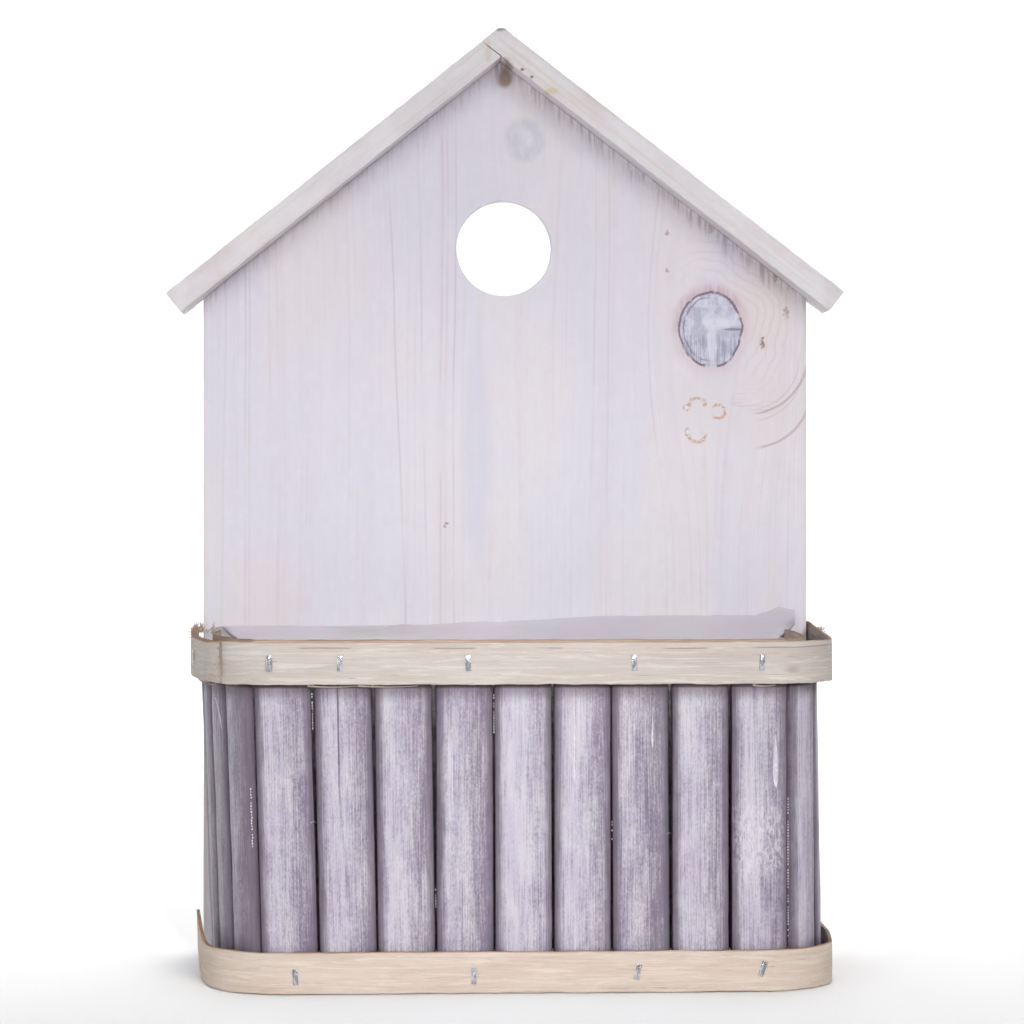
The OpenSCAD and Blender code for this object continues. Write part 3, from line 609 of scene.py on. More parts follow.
def hair(bm, points, radius, tip=0.25):
    """A four-sided tapered fibre along a few points; tip is the share of the radius left at its end."""
    points = [Vector(p) for p in points]
    turn = (points[1] - points[0]).to_track_quat("Z", "Y").to_matrix().to_4x4()
    ring = bmesh.ops.create_circle(bm, cap_ends=True, cap_tris=False, segments=4, radius=radius,
                                   matrix=Matrix.Translation(points[0]) @ turn)
    face = ring["verts"][0].link_faces[0]
    shrink = tip ** (1 / (len(points) - 1))
    for before, after in zip(points, points[1:]):
        grown = bmesh.ops.extrude_face_region(bm, geom=[face])["geom"]
        verts = only(grown, bmesh.types.BMVert)
        face = only(grown, bmesh.types.BMFace)[0]
        bmesh.ops.translate(bm, verts=verts, vec=after - before)
        bmesh.ops.scale(bm, verts=verts, vec=(shrink, shrink, shrink), space=Matrix.Translation(-after))


def tuft(bm, root, way, length, radius, spread, number):
    """A bunch of short fibres that start near root and point roughly one way."""
    for fibre in range(number):
        start = Vector(root) + Vector([chance.uniform(-1, 1) * s for s in spread])
        reach = length * chance.uniform(0.4, 1.2)
        aim = (Vector(way) + Vector([chance.uniform(-0.6, 0.6) for axis in range(3)])).normalized()
        bow = Vector([chance.uniform(-0.25, 0.25) for axis in range(3)])
        hair(bm, [start, start + aim * reach * 0.4, start + (aim + bow).normalized() * reach * 0.75,
                  start + (aim + bow * 2.2).normalized() * reach], radius * chance.uniform(0.6, 1.3), 0.2)


# ---------------------------------------------------------------- board and roof

def stave(node):
    """One board of the back, its outer edges and the hole's edge eased."""
    bm = merged(node)

    def outer(edge):
        a, b = (v.co for v in edge.verts)
        on_face = any(abs(a.y - y) < 1e-5 and abs(b.y - y) < 1e-5 for y in (FACE_Y, BACK_Y))
        round_hole = all(abs(math.hypot(p.x - HOLE.x, p.z - HOLE.z) - HOLE_R) < 5e-5 for p in (a, b))
        at_seam = any(abs(a.x - s) < 1e-5 and abs(b.x - s) < 1e-5 for s in (SEAM_LEFT, SEAM_RIGHT))
        long = (a - b).length > 8 * MM
        return on_face and edge.calc_face_angle(0) > 0.8 and (round_hole or long and not at_seam)

    ease(bm, [e for e in bm.edges if outer(e)], 0.45 * MM)
    return piece("board_" + node, bm, BOARD_WASH, [node], 15)


for node in STAVES:
    stave(node)


def roof_strip(node, pitch, hand, finish):
    """A rough-sawn strip with eased, slightly ragged edges."""
    bm = merged(node)
    along = Vector((hand * math.cos(pitch), 0, -math.sin(pitch)))
    below = Vector((-hand * math.sin(pitch), 0, -math.cos(pitch)))
    long = [e for e in bm.edges if e.calc_length() > 15 * MM and e.calc_face_angle(0) > 0.5]
    ease(bm, long, 0.7 * MM)
    slice_across(bm, RIDGE - along * 0.01, along, 2.6 * MM, 86)
    slice_across(bm, Vector((0, BACK_Y, 0)), Vector((0, -1, 0)), 4.2 * MM, 6)
    slice_across(bm, RIDGE, below, 3.8 * MM, 3)
    for vert in bm.verts:
        c = vert.co.copy()
        reach = (c - RIDGE).dot(along)
        depth = (c - RIDGE).dot(below)
        rough = 0.32 * wave(reach, c.y, depth, 130, 3) + 0.28 * wave(reach, c.y, depth, 420, 5)
        lift = 0.22 * wave(reach * 0.35, c.y, depth, 60, 9)
        vert.co += below * (rough + lift) * 0.6 * MM
        vert.co.y += (0.5 * rough + 0.3 * wave(reach * 0.3, 0, depth, 90, 2)) * 0.6 * MM
    bmesh.ops.recalc_face_normals(bm, faces=bm.faces)
    return piece("sawn_" + node, bm, finish, [node], 30)


roof_strip("left_roof_strip", LEFT_PITCH, -1, LEFT_WASH)
roof_strip("right_roof_strip", RIGHT_PITCH, 1, RIGHT_WASH)


# ---------------------------------------------------------------- slats

# How light each slat's wash is: the left side, the front and the right side
SLAT_TONES = dict(zip(SLATS, (0.42, 0.44, 0.42, 0.4, 0.34,
                              0.56, 0.6, 0.6, 0.5, 0.76, 0.66, 0.4, 0.6, 0.6,
                              0.6, 0.5, 0.5, 0.48, 0.46)))
CORNER_SLATS = ("left_slat_5", "right_slat_1")
SLAT_LAYERS = ("across", "along", "tone", "rough_patch", "crack")
CRACKED_SLAT = "front_slat_2"
RUBBED_SLAT = "front_slat_9"
# Points round a slat's outside, more where the crack needs them, and cuts along it
CROWN_POINTS = 34
CRACKED_POINTS = 90
SLAT_CUTS = 64


def slat_axes(node):
    """A slat's foot at its back, its directions across, along and out, half width, thickness and length."""
    points = {tuple(round(c, 6) for c in v.co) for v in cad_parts[node].data.vertices}
    low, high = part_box(node)
    foot = [Vector(p) for p in points if p[2] < low.z + 2 * MM]
    head = [Vector(p) for p in points if p[2] > high.z - 2 * MM]
    foot_mid = sum(foot, Vector()) / len(foot)
    head_mid = sum(head, Vector()) / len(head)
    along = (head_mid - foot_mid).normalized()
    sxx = sum((p.x - foot_mid.x) ** 2 for p in foot)
    syy = sum((p.y - foot_mid.y) ** 2 for p in foot)
    sxy = sum((p.x - foot_mid.x) * (p.y - foot_mid.y) for p in foot)
    angle = 0.5 * math.atan2(2 * sxy, sxx - syy)
    across = Vector((math.cos(angle), math.sin(angle), 0))
    across = (across - along * across.dot(along)).normalized()
    out = across.cross(along)
    if out.dot(foot_mid - Vector((0, 0.02, foot_mid.z))) < 0:
        across = -across
        out = -out
    half = max(abs((p - foot_mid).dot(across)) for p in foot)
    back = min((p - foot_mid).dot(out) for p in foot)
    front = max((p - foot_mid).dot(out) for p in foot)
    length = (head_mid - foot_mid).length
    return foot_mid + out * back, across, along, out, half, front - back, length


def crown(q, thick):
    """How high a slat's outside stands above its back, q across from -1 to 1."""
    return SLAT_EDGE + (thick - SLAT_EDGE) * math.sqrt(max(0, 1 - abs(q) ** 3))


def on_slat(node, q, t, off):
    """A point on a slat's outside: q across from -1 to 1, t along from 0 to 1, off millimetres above."""
    start, across, along, out, half, thick, length = slat_axes(node)
    return start + across * q * half + out * (crown(q, thick) + off * MM) + along * t * length


def slat(node, seed):
    """A crowned slat with worn edges, rough ends and grain ripples."""
    start, across, along, out, half, thick, length = slat_axes(node)
    half += 0.15 * MM
    cracked = node == CRACKED_SLAT
    points = CRACKED_POINTS if cracked else CROWN_POINTS
    bm = bmesh.new()
    ring = [bm.verts.new((-half, 0, 0)), bm.verts.new((half, 0, 0))]
    for k in range(points, -1, -1):
        q = 2 * k / points - 1
        if not cracked:
            q = math.sin(math.pi / 2 * q)
        ring.append(bm.verts.new((q * half, crown(q, thick), 0)))
    bottom = bm.faces.new(ring)
    top = bmesh.ops.extrude_face_region(bm, geom=[bottom])["geom"]
    bmesh.ops.translate(bm, verts=only(top, bmesh.types.BMVert), vec=(0, 0, length))
    tall = [e for e in bm.edges if spans(e, 2, length / 2)]
    bmesh.ops.subdivide_edges(bm, edges=tall, cuts=SLAT_CUTS, use_grid_fill=True)
    bmesh.ops.recalc_face_normals(bm, faces=bm.faces)

    sheet = bm.loops.layers.uv.new("grain")
    layers = {name: bm.verts.layers.float.new(name) for name in SLAT_LAYERS}
    for face in bm.faces:
        for loop in face.loops:
            c = loop.vert.co
            loop[sheet].uv = (c.x + seed * 0.37, c.z + seed * 0.71)
    for vert in bm.verts:
        c = vert.co
        q = c.x / half
        t = c.z / length
        front = c.y > SLAT_EDGE * 0.5
        vert[layers["across"]] = q * (0.95 if node in CORNER_SLATS else 1)
        vert[layers["along"]] = t
        vert[layers["tone"]] = SLAT_TONES[node]
        if node == RUBBED_SLAT:
            ragged = 0.5 * wave(c.x, 0, c.z, 120, seed)
            vert[layers["rough_patch"]] = max(0, min(1, 1.9 - 13 * abs(t - 0.44 + 0.06 * ragged)))
        if cracked:
            line = -0.14 - 0.06 * t + 0.03 * noise.noise(Vector((t * 9, 2, 0)))
            off = abs(q - line)
            opened = max(0, min(1, (t - 0.44) * 5)) * (0.75 + 0.25 * noise.noise(Vector((t * 14, 0, 5))))
            vert[layers["crack"]] = max(0, 1 - off / 0.03) * opened if front else 0
            c.y -= 1.3 * MM * max(0, 1 - off / 0.035) * opened if front else 0
        ripple = 0.22 * wave(c.x * 5, 0, c.z, 45, seed) + 0.13 * wave(c.x * 9, 0, c.z * 0.4, 90, seed + 3)
        if front:
            c.y += ripple * MM
        c.x += 0.16 * MM * wave(q, 0, c.z * 3, 30, seed + 7) * abs(q)
        if t < 0.001 or t > 0.999:
            c.z += (0.35 * wave(c.x, c.y, 0, 260, seed) + 0.2 * wave(c.x, c.y, 0, 900, seed)) * MM
    rims = [e for e in bm.edges if e.calc_face_angle(0) > 1.0
            and all(min(abs(v.co.z), abs(v.co.z - length)) < MM for v in e.verts)]
    ease(bm, rims, 0.35 * MM, 1)
    place = Matrix((across, out, along)).transposed().to_4x4()
    place.translation = start
    bmesh.ops.transform(bm, matrix=place, verts=bm.verts)
    bmesh.ops.recalc_face_normals(bm, faces=bm.faces)
    return piece("stained_" + node, bm, SLAT_STAIN, [node], 50)


for n, node in enumerate(SLATS):
    slat(node, n + 1.0)


# Drips of thick wash: slat, place across, head and foot as shares of its length, and width in millimetres
RUNS = (("front_slat_9", 0.55, 0.76, 0.59, 3.4), ("front_slat_6", -0.3, 0.88, 0.6, 1.3),
        ("front_slat_6", -0.26, 0.24, 0.06, 0.7), ("front_slat_7", 0.42, 0.82, 0.71, 1.5),
        ("front_slat_4", -0.42, 0.86, 0.5, 0.6))


def paint_runs():
    """Drips of thick wash with a pointed head, thicker towards the foot."""
    bm = bmesh.new()
    for node, q, head, foot, wide in RUNS:
        across, along, out = slat_axes(node)[1:4]
        half_run = slat_axes(node)[-1] * (head - foot) / 2
        middle = on_slat(node, q, (head + foot) / 2, -0.1)
        for vert in bmesh.ops.create_uvsphere(bm, u_segments=14, v_segments=14, radius=1)["verts"]:
            c = vert.co.copy()
            taper = 0.6 - 0.4 * c.z
            sway = 0.12 * MM * math.sin(c.z * 4)
            vert.co = (middle + across * (c.x * wide / 2 * MM * taper + sway) + out * c.y * 0.42 * MM
                       + along * c.z * half_run)
    bmesh.ops.recalc_face_normals(bm, faces=bm.faces)
    return piece("paint_runs", bm, RUN)


paint_runs()


# ---------------------------------------------------------------- veneer bands

class Route:
    """The line that a band follows, seen from above, from its left end to its right end."""

    def __init__(self, node):
        bm = merged(node, 0.05)
        flat = max((f for f in bm.faces if f.normal.z > 0.9), key=lambda f: f.calc_area())
        loop = [v.co.copy() for v in flat.verts]
        bm.free()
        count = len(loop)
        ends = sorted(sorted(range(count), key=lambda i: (loop[i] - loop[(i + 1) % count]).length)[:2])
        one = loop[ends[0] + 1:ends[1] + 1]
        two = loop[ends[1] + 1:] + loop[:ends[0] + 1]
        one = one if one[0].x < one[-1].x else one[::-1]
        two = two if two[0].x < two[-1].x else two[::-1]
        outer, inner = (one, two) if min(p.y for p in one) < min(p.y for p in two) else (two, one)
        self.middle = [(a + b) / 2 for a, b in zip(outer, inner)]
        self.outward = [(a - b).normalized() for a, b in zip(outer, inner)]
        self.runs = [0.0]
        for a, b in zip(self.middle, self.middle[1:]):
            self.runs.append(self.runs[-1] + (b - a).xy.length)
        self.length = self.runs[-1]

    def at(self, run):
        """The point and the outward direction after a run from the left end."""
        run = min(max(run, 0), self.length)
        n = next((i for i in range(1, len(self.runs)) if self.runs[i] >= run), len(self.runs) - 1)
        share = (run - self.runs[n - 1]) / max(self.runs[n] - self.runs[n - 1], 1e-9)
        point = self.middle[n - 1].lerp(self.middle[n], share)
        outward = self.outward[n - 1].lerp(self.outward[n], share).normalized()
        return point, outward

    def run_where(self, test):
        """The first run at which a test of the point holds."""
        return next(r * MM for r in range(int(self.length / MM)) if test(self.at(r * MM)[0]))


def veneer_band(name, route, start, stop, foot, top, finish, node, seed, lift=0.0, thick=VENEER,
                wavy=0.3, fray=None, brown=None, steps=2.0, shape=None):
    """A strip of veneer made flat, given worn edges, then bent along its route."""
    length = stop - start
    high = top - foot
    bm = bmesh.new()
    bmesh.ops.create_cube(bm, size=1)
    bmesh.ops.scale(bm, vec=(length, thick, high), verts=bm.verts)
    bmesh.ops.translate(bm, vec=(length / 2, 0, high / 2), verts=bm.verts)
    lengthwise = [e for e in bm.edges if spans(e, 0, length / 2)]
    bmesh.ops.subdivide_edges(bm, edges=lengthwise, cuts=int(length / (steps * MM)), use_grid_fill=True)
    upright = [e for e in bm.edges if spans(e, 2, high / 2)]
    bmesh.ops.subdivide_edges(bm, edges=upright, cuts=9, use_grid_fill=True)
    sheet = bm.loops.layers.uv.new("grain")
    worn = bm.verts.layers.float.new("fray")
    upward = bm.verts.layers.float.new("up")
    browned = bm.verts.layers.float.new("brown")
    for face in bm.faces:
        for loop in face.loops:
            c = loop.vert.co
            loop[sheet].uv = (c.x + start + seed, c.z + seed * 0.3 + (0.05 if c.y < 0 else 0))
    for vert in bm.verts:
        c = vert.co
        v = c.z / high
        run = start + c.x
        vert[worn] = fray(run, v) if fray else 0.0
        vert[upward] = v
        vert[browned] = brown(run, v) if brown else 0.0
        teeth = 0.55 * wave(run, 0, 0, 70, seed) + 0.3 * wave(run, c.y * 2, 0, 330, seed) * (1 + vert[worn])
        if v > 0.99:
            c.z += teeth * 0.55 * MM
        if v < 0.01:
            c.z -= teeth * 0.7 * MM
        swell = wavy * wave(run, 0, c.z * 1.5, 26, seed + 2)
        c.y += (swell + 0.16 * wave(run, 0, c.z * 7, 60, seed + 5)) * MM
        if v > 0.9:
            c.y += 0.25 * MM * wave(run, 0, 0, 40, seed + 4)
        ragged_end = 0.9 * wave(0, c.y * 3, c.z, 420, seed) + 0.7 * wave(0, 0, c.z, 120, seed)
        if c.x < 1e-6 or c.x > length - 1e-6:
            c.x += ragged_end * MM
        if shape:
            vert.co = shape(run, v, c)
    for vert in bm.verts:
        c = vert.co.copy()
        point, outward = route.at(start + c.x)
        vert.co = Vector((point.x, point.y, foot + c.z)) + outward * (-c.y + lift)
    bmesh.ops.recalc_face_normals(bm, faces=bm.faces)
    return piece(name, bm, finish, [node], 45)


RIM_ROUTE = Route("rim_band")
INNER_RIM_ROUTE = Route("rim_inner_band")
INNER_BASE_ROUTE = Route("base_inner_band")
LAP_END = RIM_ROUTE.run_where(lambda p: p.x > -BOARD_HALF + LAP_REACH)


def near_ends(route, reach):
    """A test of how frayed a band is: 1 at its ends, 0 from reach on."""
    return lambda run, v: max(0.0, 1 - min(run, route.length - run) / reach)


def rim_outer():
    """The rim band, browned where its ends were sawn and at a dent near the right corner."""
    fray = near_ends(RIM_ROUTE, 34 * MM)
    right_run = RIM_ROUTE.length

    def shape(run, v, c):
        # Both ends climb a little towards the board, the right one more
        left_climb = 0.6 * MM * max(0, 1 - run / (60 * MM)) ** 2
        right_climb = 4.4 * MM * max(0, 1 - (right_run - run) / (75 * MM)) ** 1.6
        c.z += left_climb * (0.35 + 0.65 * v) + right_climb * (0.5 + 0.5 * v)
        return c

    dents = RIM_ROUTE.run_where(lambda p: p.x > 120 * MM)

    def brown(run, v):
        bare_end = max(0.0, 1 - (right_run - run) / (16 * MM)) * max(0.0, min(1, (v - 0.5) * 4))
        dent = max(0.0, 1 - abs(run - dents) / (5 * MM)) * max(0.0, 1 - abs(v - 0.33) * 9)
        left_end = max(0.0, 1 - run / (12 * MM)) * max(0.0, 1 - abs(v - 0.95) * 5)
        return min(1, bare_end * 1.2 + dent * 0.8 + left_end * 0.7)

    veneer_band("rim_band_veneer", RIM_ROUTE, 0, RIM_ROUTE.length, RIM_FOOT, RIM_TOP, RIM_VENEER,
                "rim_band", 1.0, fray=fray, brown=brown, shape=shape)


def rim_lap():
    """The rim band's left end, lapped over itself as a second thickness."""
    def shape(run, v, c):
        c.z += 0.5 * MM * max(0, 1 - run / (60 * MM)) ** 2
        return c

    veneer_band("rim_lap_veneer", RIM_ROUTE, 0.5 * MM, LAP_END, RIM_FOOT + 0.3 * MM, RIM_TOP - 0.5 * MM,
                RIM_VENEER, "rim_band_lap", 2.0, lift=VENEER * 1.05, wavy=0.12,
                fray=near_ends(RIM_ROUTE, 90 * MM), steps=1.2, shape=shape)


def base_outer():
    """The base band from its torn left end to the board on the right."""
    torn = RIM_ROUTE.run_where(lambda p: FACE_Y - p.y > TORN_FROM_BOARD)

    def shape(run, v, c):
        # The torn end stands up in a horn and its lower edge rises
        gap = max(0, 1 - (run - torn) / (14 * MM))
        bite = max(0, 1 - (run - torn) / (7 * MM))
        c.z += gap ** 1.5 * 12.5 * MM * v + bite * 4 * MM * (1 - v) ** 2
        c.x -= bite * 3 * MM * math.sin(math.pi * min(1, v * 1.2)) * 0.8
        c.y -= gap * 1.2 * MM * v
        return c

    def fray(run, v):
        return max(0.0, 1 - (run - torn) / (16 * MM), 0.5 - (RIM_ROUTE.length - run) / (30 * MM))

    veneer_band("base_band_veneer", RIM_ROUTE, torn, RIM_ROUTE.length, 0.4 * MM, BASE_TOP, BASE_VENEER,
                "base_band", 3.0, fray=fray, shape=shape, steps=1.6)


rim_outer()
rim_lap()
base_outer()
veneer_band("rim_inner_veneer", INNER_RIM_ROUTE, 0, INNER_RIM_ROUTE.length, RIM_FOOT + 0.4 * MM,
            RIM_TOP + 0.7 * MM, INNER_VENEER, "rim_inner_band", 4.0, wavy=0.04, thick=INNER_VENEER_T)
veneer_band("base_inner_veneer", INNER_BASE_ROUTE, 0, INNER_BASE_ROUTE.length, BASE_INNER_FOOT + 0.4 * MM,
            BASE_TOP, INNER_VENEER, "base_inner_band", 5.0, wavy=0.04, thick=INNER_VENEER_T)


# ---------------------------------------------------------------- fibres and beads of wash

def rim_end_fibres():
    """Pulped fibres where the rim band's ends were sawn off, and the splinter at the right one."""
    bm = bmesh.new()
    left = RIM_ROUTE.at(2 * MM)[0]
    right = RIM_ROUTE.at(RIM_ROUTE.length - 2 * MM)[0]
    # Middle of each tuft from its end of the band, the way it points, its length, radius, spread and number
    for end, offset, way, length, radius, spread, number in (
            (left, (3, -3, 0.4), (0.4, -0.3, 1), 4.4, 0.34, (5.5, 6, 1.0), 90),
            (left, (-1, -5, -1), (-0.6, -0.8, 0.5), 3.4, 0.26, (1.2, 5, 2), 30),
            (right, (3, -5, 0.2), (0.1, -0.4, 0.7), 1.8, 0.34, (4, 5, 0.9), 80)):
        middle = Vector((end.x, end.y, RIM_TOP)) + Vector(offset) * MM
        tuft(bm, middle, way, length * MM, radius * MM, Vector(spread) * MM, number)
    # Threads that broke out where the lap ends
    point, outward = RIM_ROUTE.at(LAP_END)
    for thread in range(34):
        height = chance.uniform(0.08, 0.96)
        root = Vector((point.x, point.y, RIM_FOOT + height * (RIM_TOP - RIM_FOOT))) + outward * 2.4 * MM
        tuft(bm, root, (chance.uniform(-0.7, 0.7), -0.25, chance.uniform(-1, 1)), 3.6 * MM, 0.2 * MM,
             (1.6 * MM, 0.2 * MM, 0.4 * MM), 1)
    # The splinter at the band's widest place on the right
    side = max((RIM_ROUTE.at(r * MM)[0] for r in range(int(RIM_ROUTE.length / MM))), key=lambda q: q.x)
    hair(bm, [(side.x, side.y, RIM_TOP - 3.2 * MM), (side.x + 4 * MM, side.y, RIM_TOP - 2.6 * MM),
              (side.x + 6.5 * MM, side.y, RIM_TOP - 1.8 * MM)], 0.7 * MM, 0.15)
    hair(bm, [(left.x - 1 * MM, left.y - 3 * MM, RIM_TOP - 3 * MM),
              (left.x - 2.5 * MM, left.y - 4 * MM, RIM_TOP - 3 * MM),
              (left.x - 4 * MM, left.y - 4 * MM, RIM_TOP - 2.6 * MM)], 0.4 * MM, 0.3)
    return piece("rim_end_fibres", bm, FIBRE)


def slivers():
    """Slivers of veneer that hang from the rim band's lower edge."""
    bm = bmesh.new()
    for start, stop in ((70, 96), (104, 112), (158, 180), (180, 206), (352, 362)):
        span = [start + (stop - start) * k / 4 for k in range(5)]
        points = []
        for run in span:
            point, outward = RIM_ROUTE.at(run * MM)
            drop = 0.5 * MM + 0.5 * MM * math.sin(math.pi * (run - start) / (stop - start))
            points.append(Vector((point.x, point.y, RIM_FOOT - drop)) + outward * 0.5 * MM)
        hair(bm, points, 0.42 * MM, 0.3)
    return piece("rim_slivers", bm, RIM_VENEER)


def slat_fibres():
    """Loose fibres on the slats: a loop high on the left side and stray white hairs."""
    bm = bmesh.new()
    course = ((0.75, 0.76, 0.1), (0.72, 0.8, 0.7), (0.5, 0.845, 1.0), (0.15, 0.86, 1.0), (-0.1, 0.84, 0.8),
              (-0.2, 0.8, 0.6), (-0.22, 0.76, 0.1))
    hair(bm, [on_slat("left_slat_4", *spot) for spot in course], 0.28 * MM, 0.6)
    for node, q, t, reach in (("front_slat_1", 0.86, 0.49, 0.24), ("front_slat_7", 0.92, 0.455, 0.2),
                              ("front_slat_5", -0.2, 0.42, 0.12), ("front_slat_8", 0.3, 0.66, 0.1)):
        hair(bm, [on_slat(node, q, t, 0.1), on_slat(node, q + reach / 2, t + 0.004, 0.3),
                  on_slat(node, q + reach, t - 0.002, 0.1)], 0.13 * MM, 0.5)
    return piece("slat_fibres", bm, RUN)


# Rows of beads: the slat to the left of the gap, and the row's head and foot as shares of its length
BEAD_GAP = 1.25 * MM
BEAD_ROWS = (("front_slat_1", 0.88, 0.76), ("front_slat_4", 0.88, 0.76), ("left_slat_5", 0.6, 0.42),
             ("front_slat_9", 0.58, 0.14), ("front_slat_6", 0.5, 0.44), ("front_slat_3", 0.3, 0.24))


def wash_beads():
    """Beads of wash that dried in the gaps."""
    bm = bmesh.new()
    for node, head, foot in BEAD_ROWS:
        across, length = slat_axes(node)[1], slat_axes(node)[-1]
        for n in range(int((head - foot) * length / BEAD_GAP)):
            t = foot + n * BEAD_GAP / length
            if chance.random() < 0.15:
                continue
            place = Matrix.Translation(on_slat(node, 1.0, t, chance.uniform(0.9, 1.3)) + across * 0.45 * MM)
            size = chance.uniform(0.24, 0.36) * MM
            bmesh.ops.create_icosphere(bm, subdivisions=1, radius=size,
                                       matrix=place @ Matrix.Diagonal((1, 1, 1.5, 1)))
    return piece("wash_beads", bm, BEAD)


def roof_splinters():
    """Splinters that stand up from the right strip's top edge and its end."""
    bm = bmesh.new()
    along = Vector((math.cos(RIGHT_PITCH), 0, -math.sin(RIGHT_PITCH)))
    up = Vector((math.sin(RIGHT_PITCH), 0, math.cos(RIGHT_PITCH)))
    low_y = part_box("right_roof_strip")[0].y
    for reach, tall, lean in ((110, 1.0, 1.2), (126, 0.8, 1.6), (134, 0.7, -1.2), (64, 0.6, 1.4),
                              (196, 1.6, 2.2)):
        foot = RIDGE + along * reach * MM + Vector((0, low_y + 0.8 * MM, 0))
        hair(bm, [foot - up * 0.4 * MM, foot + up * tall * 0.5 * MM + along * lean * 0.4 * MM,
                  foot + up * tall * MM + along * lean * MM], 0.24 * MM, 0.2)
    return piece("roof_splinters", bm, RIGHT_WASH)


rim_end_fibres()
slivers()
slat_fibres()
wash_beads()
roof_splinters()


# ---------------------------------------------------------------- film, wire and nails

def film_top(x):
    """How far the film's back edge stands above or below the liner's, in millimetres."""
    known = ((-150, -2.6), (-60, -2.4), (-5, -0.4), (45, 2.2), (112, 2.6), (124, 6.6), (129, 6.4),
             (134, -1))
    for (x0, z0), (x1, z1) in zip(known, known[1:]):
        if x0 * MM <= x <= x1 * MM:
            share = (x / MM - x0) / (x1 - x0)
            return z0 + (z1 - z0) * share * share * (3 - 2 * share)
    return 0.0


def film():
    """The liner, crumpled: its back edge stands against the board, its front is tucked behind the rim."""
    bm = merged("liner")
    low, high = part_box("liner")
    slice_across(bm, low.copy(), Vector((0, 0, 1)), 7 * MM, 22)
    slice_across(bm, Vector((low.x, 0, 0)), Vector((1, 0, 0)), 5.5 * MM, 47)
    slice_across(bm, Vector((0, low.y, 0)), Vector((0, 1, 0)), 8 * MM, 14)
    bmesh.ops.triangulate(bm, faces=[f for f in bm.faces if len(f.verts) > 4])
    middle = (low + high) / 2
    for vert in bm.verts:
        c = vert.co.copy()
        up = (c.z - low.z) / (high.z - low.z)
        if up < 0.06:
            continue
        behind = c.y > high.y - 3 * MM
        inward = Vector((0, -1, 0)) if behind else Vector((middle.x - c.x, middle.y - c.y, 0)).normalized()
        crumple = 0.5 + 0.5 * wave(c.x, c.y, c.z, 34, 4) + 0.35 * wave(c.x, c.y, c.z * 0.5, 105, 8)
        depth = (1.1 + 1.9 * max(0, up - 0.85) / 0.15) * max(0, crumple)
        vert.co += inward * depth * MM
        if behind and c.z > RIM_TOP:
            vert.co.x *= 1.05
        if c.z > high.z - MM:
            vert.co.z += (film_top(c.x) + 0.5 * wave(c.x, 0, 0, 160, 3) + 0.5 * wave(c.x, 0, 0, 50, 6)) * MM
        elif up > 0.9 and not behind:
            vert.co.z += (0.8 * wave(c.x, c.y, 0, 60, 5) - 0.4) * MM
    bmesh.ops.recalc_face_normals(bm, faces=bm.faces)
    area = sum(f.calc_area() for f in bm.faces) / 2
    shown = piece("crumpled_film", bm, FILM, ["liner"], 60)


film()


def bent_wire(node):
    """The staples of a set, with their corners bent round and a slight twist in each crown."""
    bm = merged(node)
    corners = [e for e in bm.edges if e.calc_face_angle(0) > 1.0]
    ease(bm, corners, 0.16 * MM)
    for vert in bm.verts:
        c = vert.co
        c.x += 0.12 * wave(c.x, c.y, c.z, 260, 2) * MM
        c.y += 0.1 * wave(c.x, 0, c.z, 420, 5) * MM
    return piece("bent_" + node, bm, WIRE, [node], 40)


for node in ("rim_staples", "side_staples", "edge_staples", "base_staples"):
    bent_wire(node)

for node, finish in (("floor_plate", PLY), ("roof_brads", NAIL), ("floor_nails", NAIL)):
    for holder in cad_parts[node].material_slots:
        holder.material = finish


# ---------------------------------------------------------------- camera and light

VIEW_DISTANCE = 1.44
FLOOR_BEND_Y = 3.4
FLOOR_BEND_R = 1.0
FLOOR_FRONT_Y = -8.0
FLOOR_HALF = 9.0
WALL_H = 4.0


def camera():
    """Level, a little left of the middle, turned to face the board."""
    lens = bpy.data.cameras.new("view")
    lens.sensor_width = 36
    lens.lens = 106.9
    lens.clip_start = 0.05
    lens.clip_end = 30
    eye = bpy.data.objects.new("view", lens)
    eye.location = (-0.0564, FACE_Y - VIEW_DISTANCE, 0.2095)
    eye.rotation_euler = (math.radians(90), 0, math.radians(-2.354))
    bpy.context.collection.objects.link(eye)
    bpy.context.scene.camera = eye


def lamp(name, place, target, size, watts, spread=180):
    """A round soft lamp that points at its target."""
    light = bpy.data.lights.new(name, "AREA")
    light.shape = "DISK"
    light.size = size
    light.energy = watts
    light.spread = math.radians(spread)
    thing = bpy.data.objects.new(name, light)
    thing.location = place
    thing.rotation_euler = (Vector(target) - Vector(place)).to_track_quat("-Z", "Y").to_euler()
    bpy.context.collection.objects.link(thing)


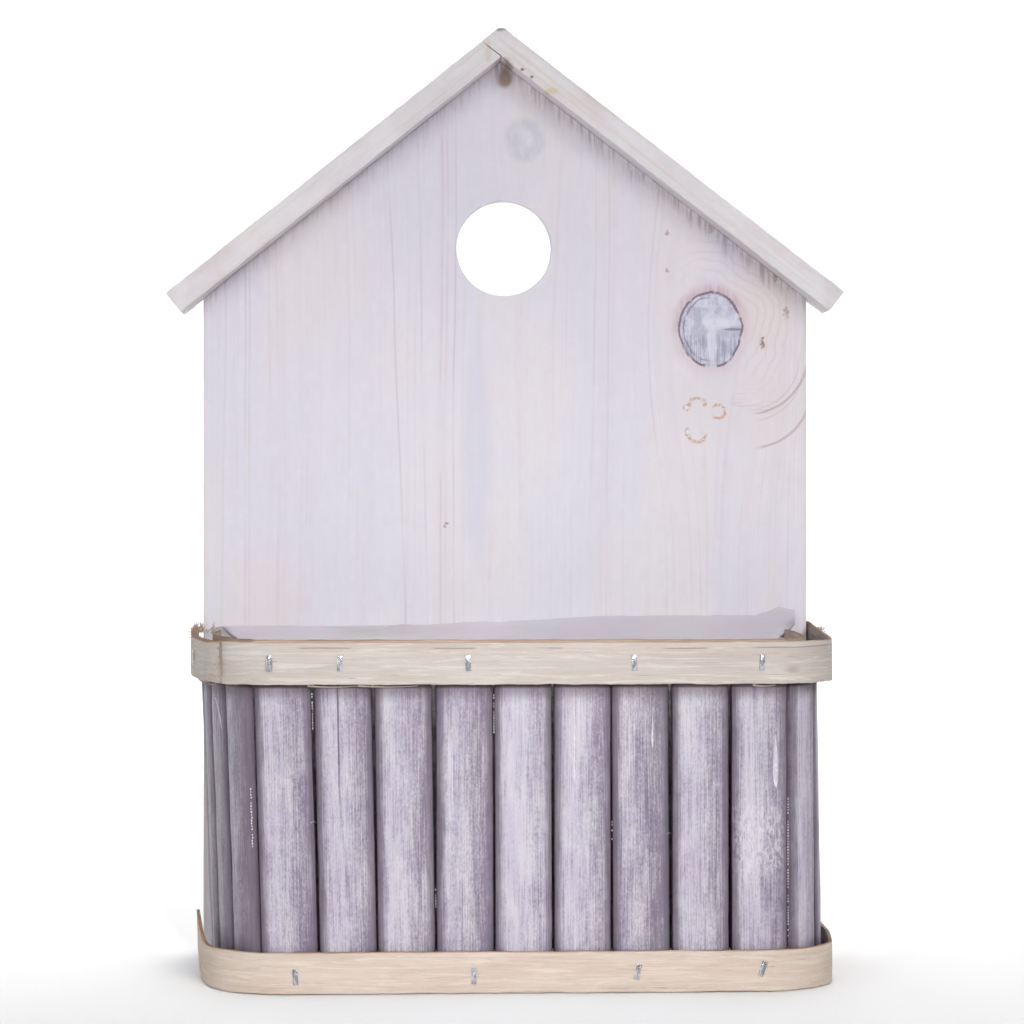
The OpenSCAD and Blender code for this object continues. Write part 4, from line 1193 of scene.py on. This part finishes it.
def studio():
    """White surroundings and soft lamps."""
    bpy.context.scene.view_settings.view_transform = "Standard"
    world = bpy.data.worlds.new("studio")
    world.use_nodes = True
    surroundings = world.node_tree.nodes["Background"]
    surroundings.inputs["Color"].default_value = (1, 1, 1, 1)
    surroundings.inputs["Strength"].default_value = 0.3
    bpy.context.scene.world = world
    lamp("key", (1.9, -4.3, 2.9), (0, 0, 0.24), 1.8, 64)
    lamp("fill", (-3.2, -4.2, 0.9), (0, 0, 0.2), 2.0, 50)
    lamp("low_front", (0.3, -2.2, 0.95), (-0.02, 0.05, 0.05), 0.25, 0.31, spread=17)
    lamp("overhead", (0, 0.3, 4), (0, 0.3, 0), 1.2, 42)
    lamp("backdrop_wash", (0, 1.5, 2.2), (0, 3.2, 0.5), 2.2, 80)


def backdrop():
    """A pale floor that sweeps up behind the object."""
    bm = bmesh.new()
    bmesh.ops.create_grid(bm, x_segments=1, y_segments=1, size=1)
    half_depth = (FLOOR_BEND_Y - FLOOR_FRONT_Y) / 2
    bmesh.ops.scale(bm, vec=(FLOOR_HALF, half_depth, 1), verts=bm.verts)
    bmesh.ops.translate(bm, vec=(0, FLOOR_BEND_Y - half_depth, 0), verts=bm.verts)
    far = [e for e in bm.edges if all(v.co.y > 0 for v in e.verts)]
    lifted = bmesh.ops.spin(bm, geom=far, cent=(0, FLOOR_BEND_Y, FLOOR_BEND_R), axis=(1, 0, 0),
                            dvec=(0, 0, 0), angle=math.radians(90), steps=16, use_merge=False,
                            use_duplicate=False)
    wall = bmesh.ops.extrude_edge_only(bm, edges=only(lifted["geom_last"], bmesh.types.BMEdge))["geom"]
    bmesh.ops.translate(bm, verts=only(wall, bmesh.types.BMVert), vec=(0, 0, WALL_H))
    mesh = bpy.data.meshes.new("backdrop")
    bm.to_mesh(mesh)
    bm.free()
    sweep = bpy.data.objects.new("backdrop", mesh)
    bpy.context.collection.objects.link(sweep)
    paper = bpy.data.materials.new("pale_paper")
    paper.use_nodes = True
    matt = paper.node_tree.nodes["Principled BSDF"]
    matt.inputs["Base Color"].default_value = (0.94, 0.94, 0.94, 1)
    matt.inputs["Roughness"].default_value = 0.9
    mesh.materials.append(paper)
    for face in mesh.polygons:
        face.use_smooth = True


camera()
studio()
backdrop()
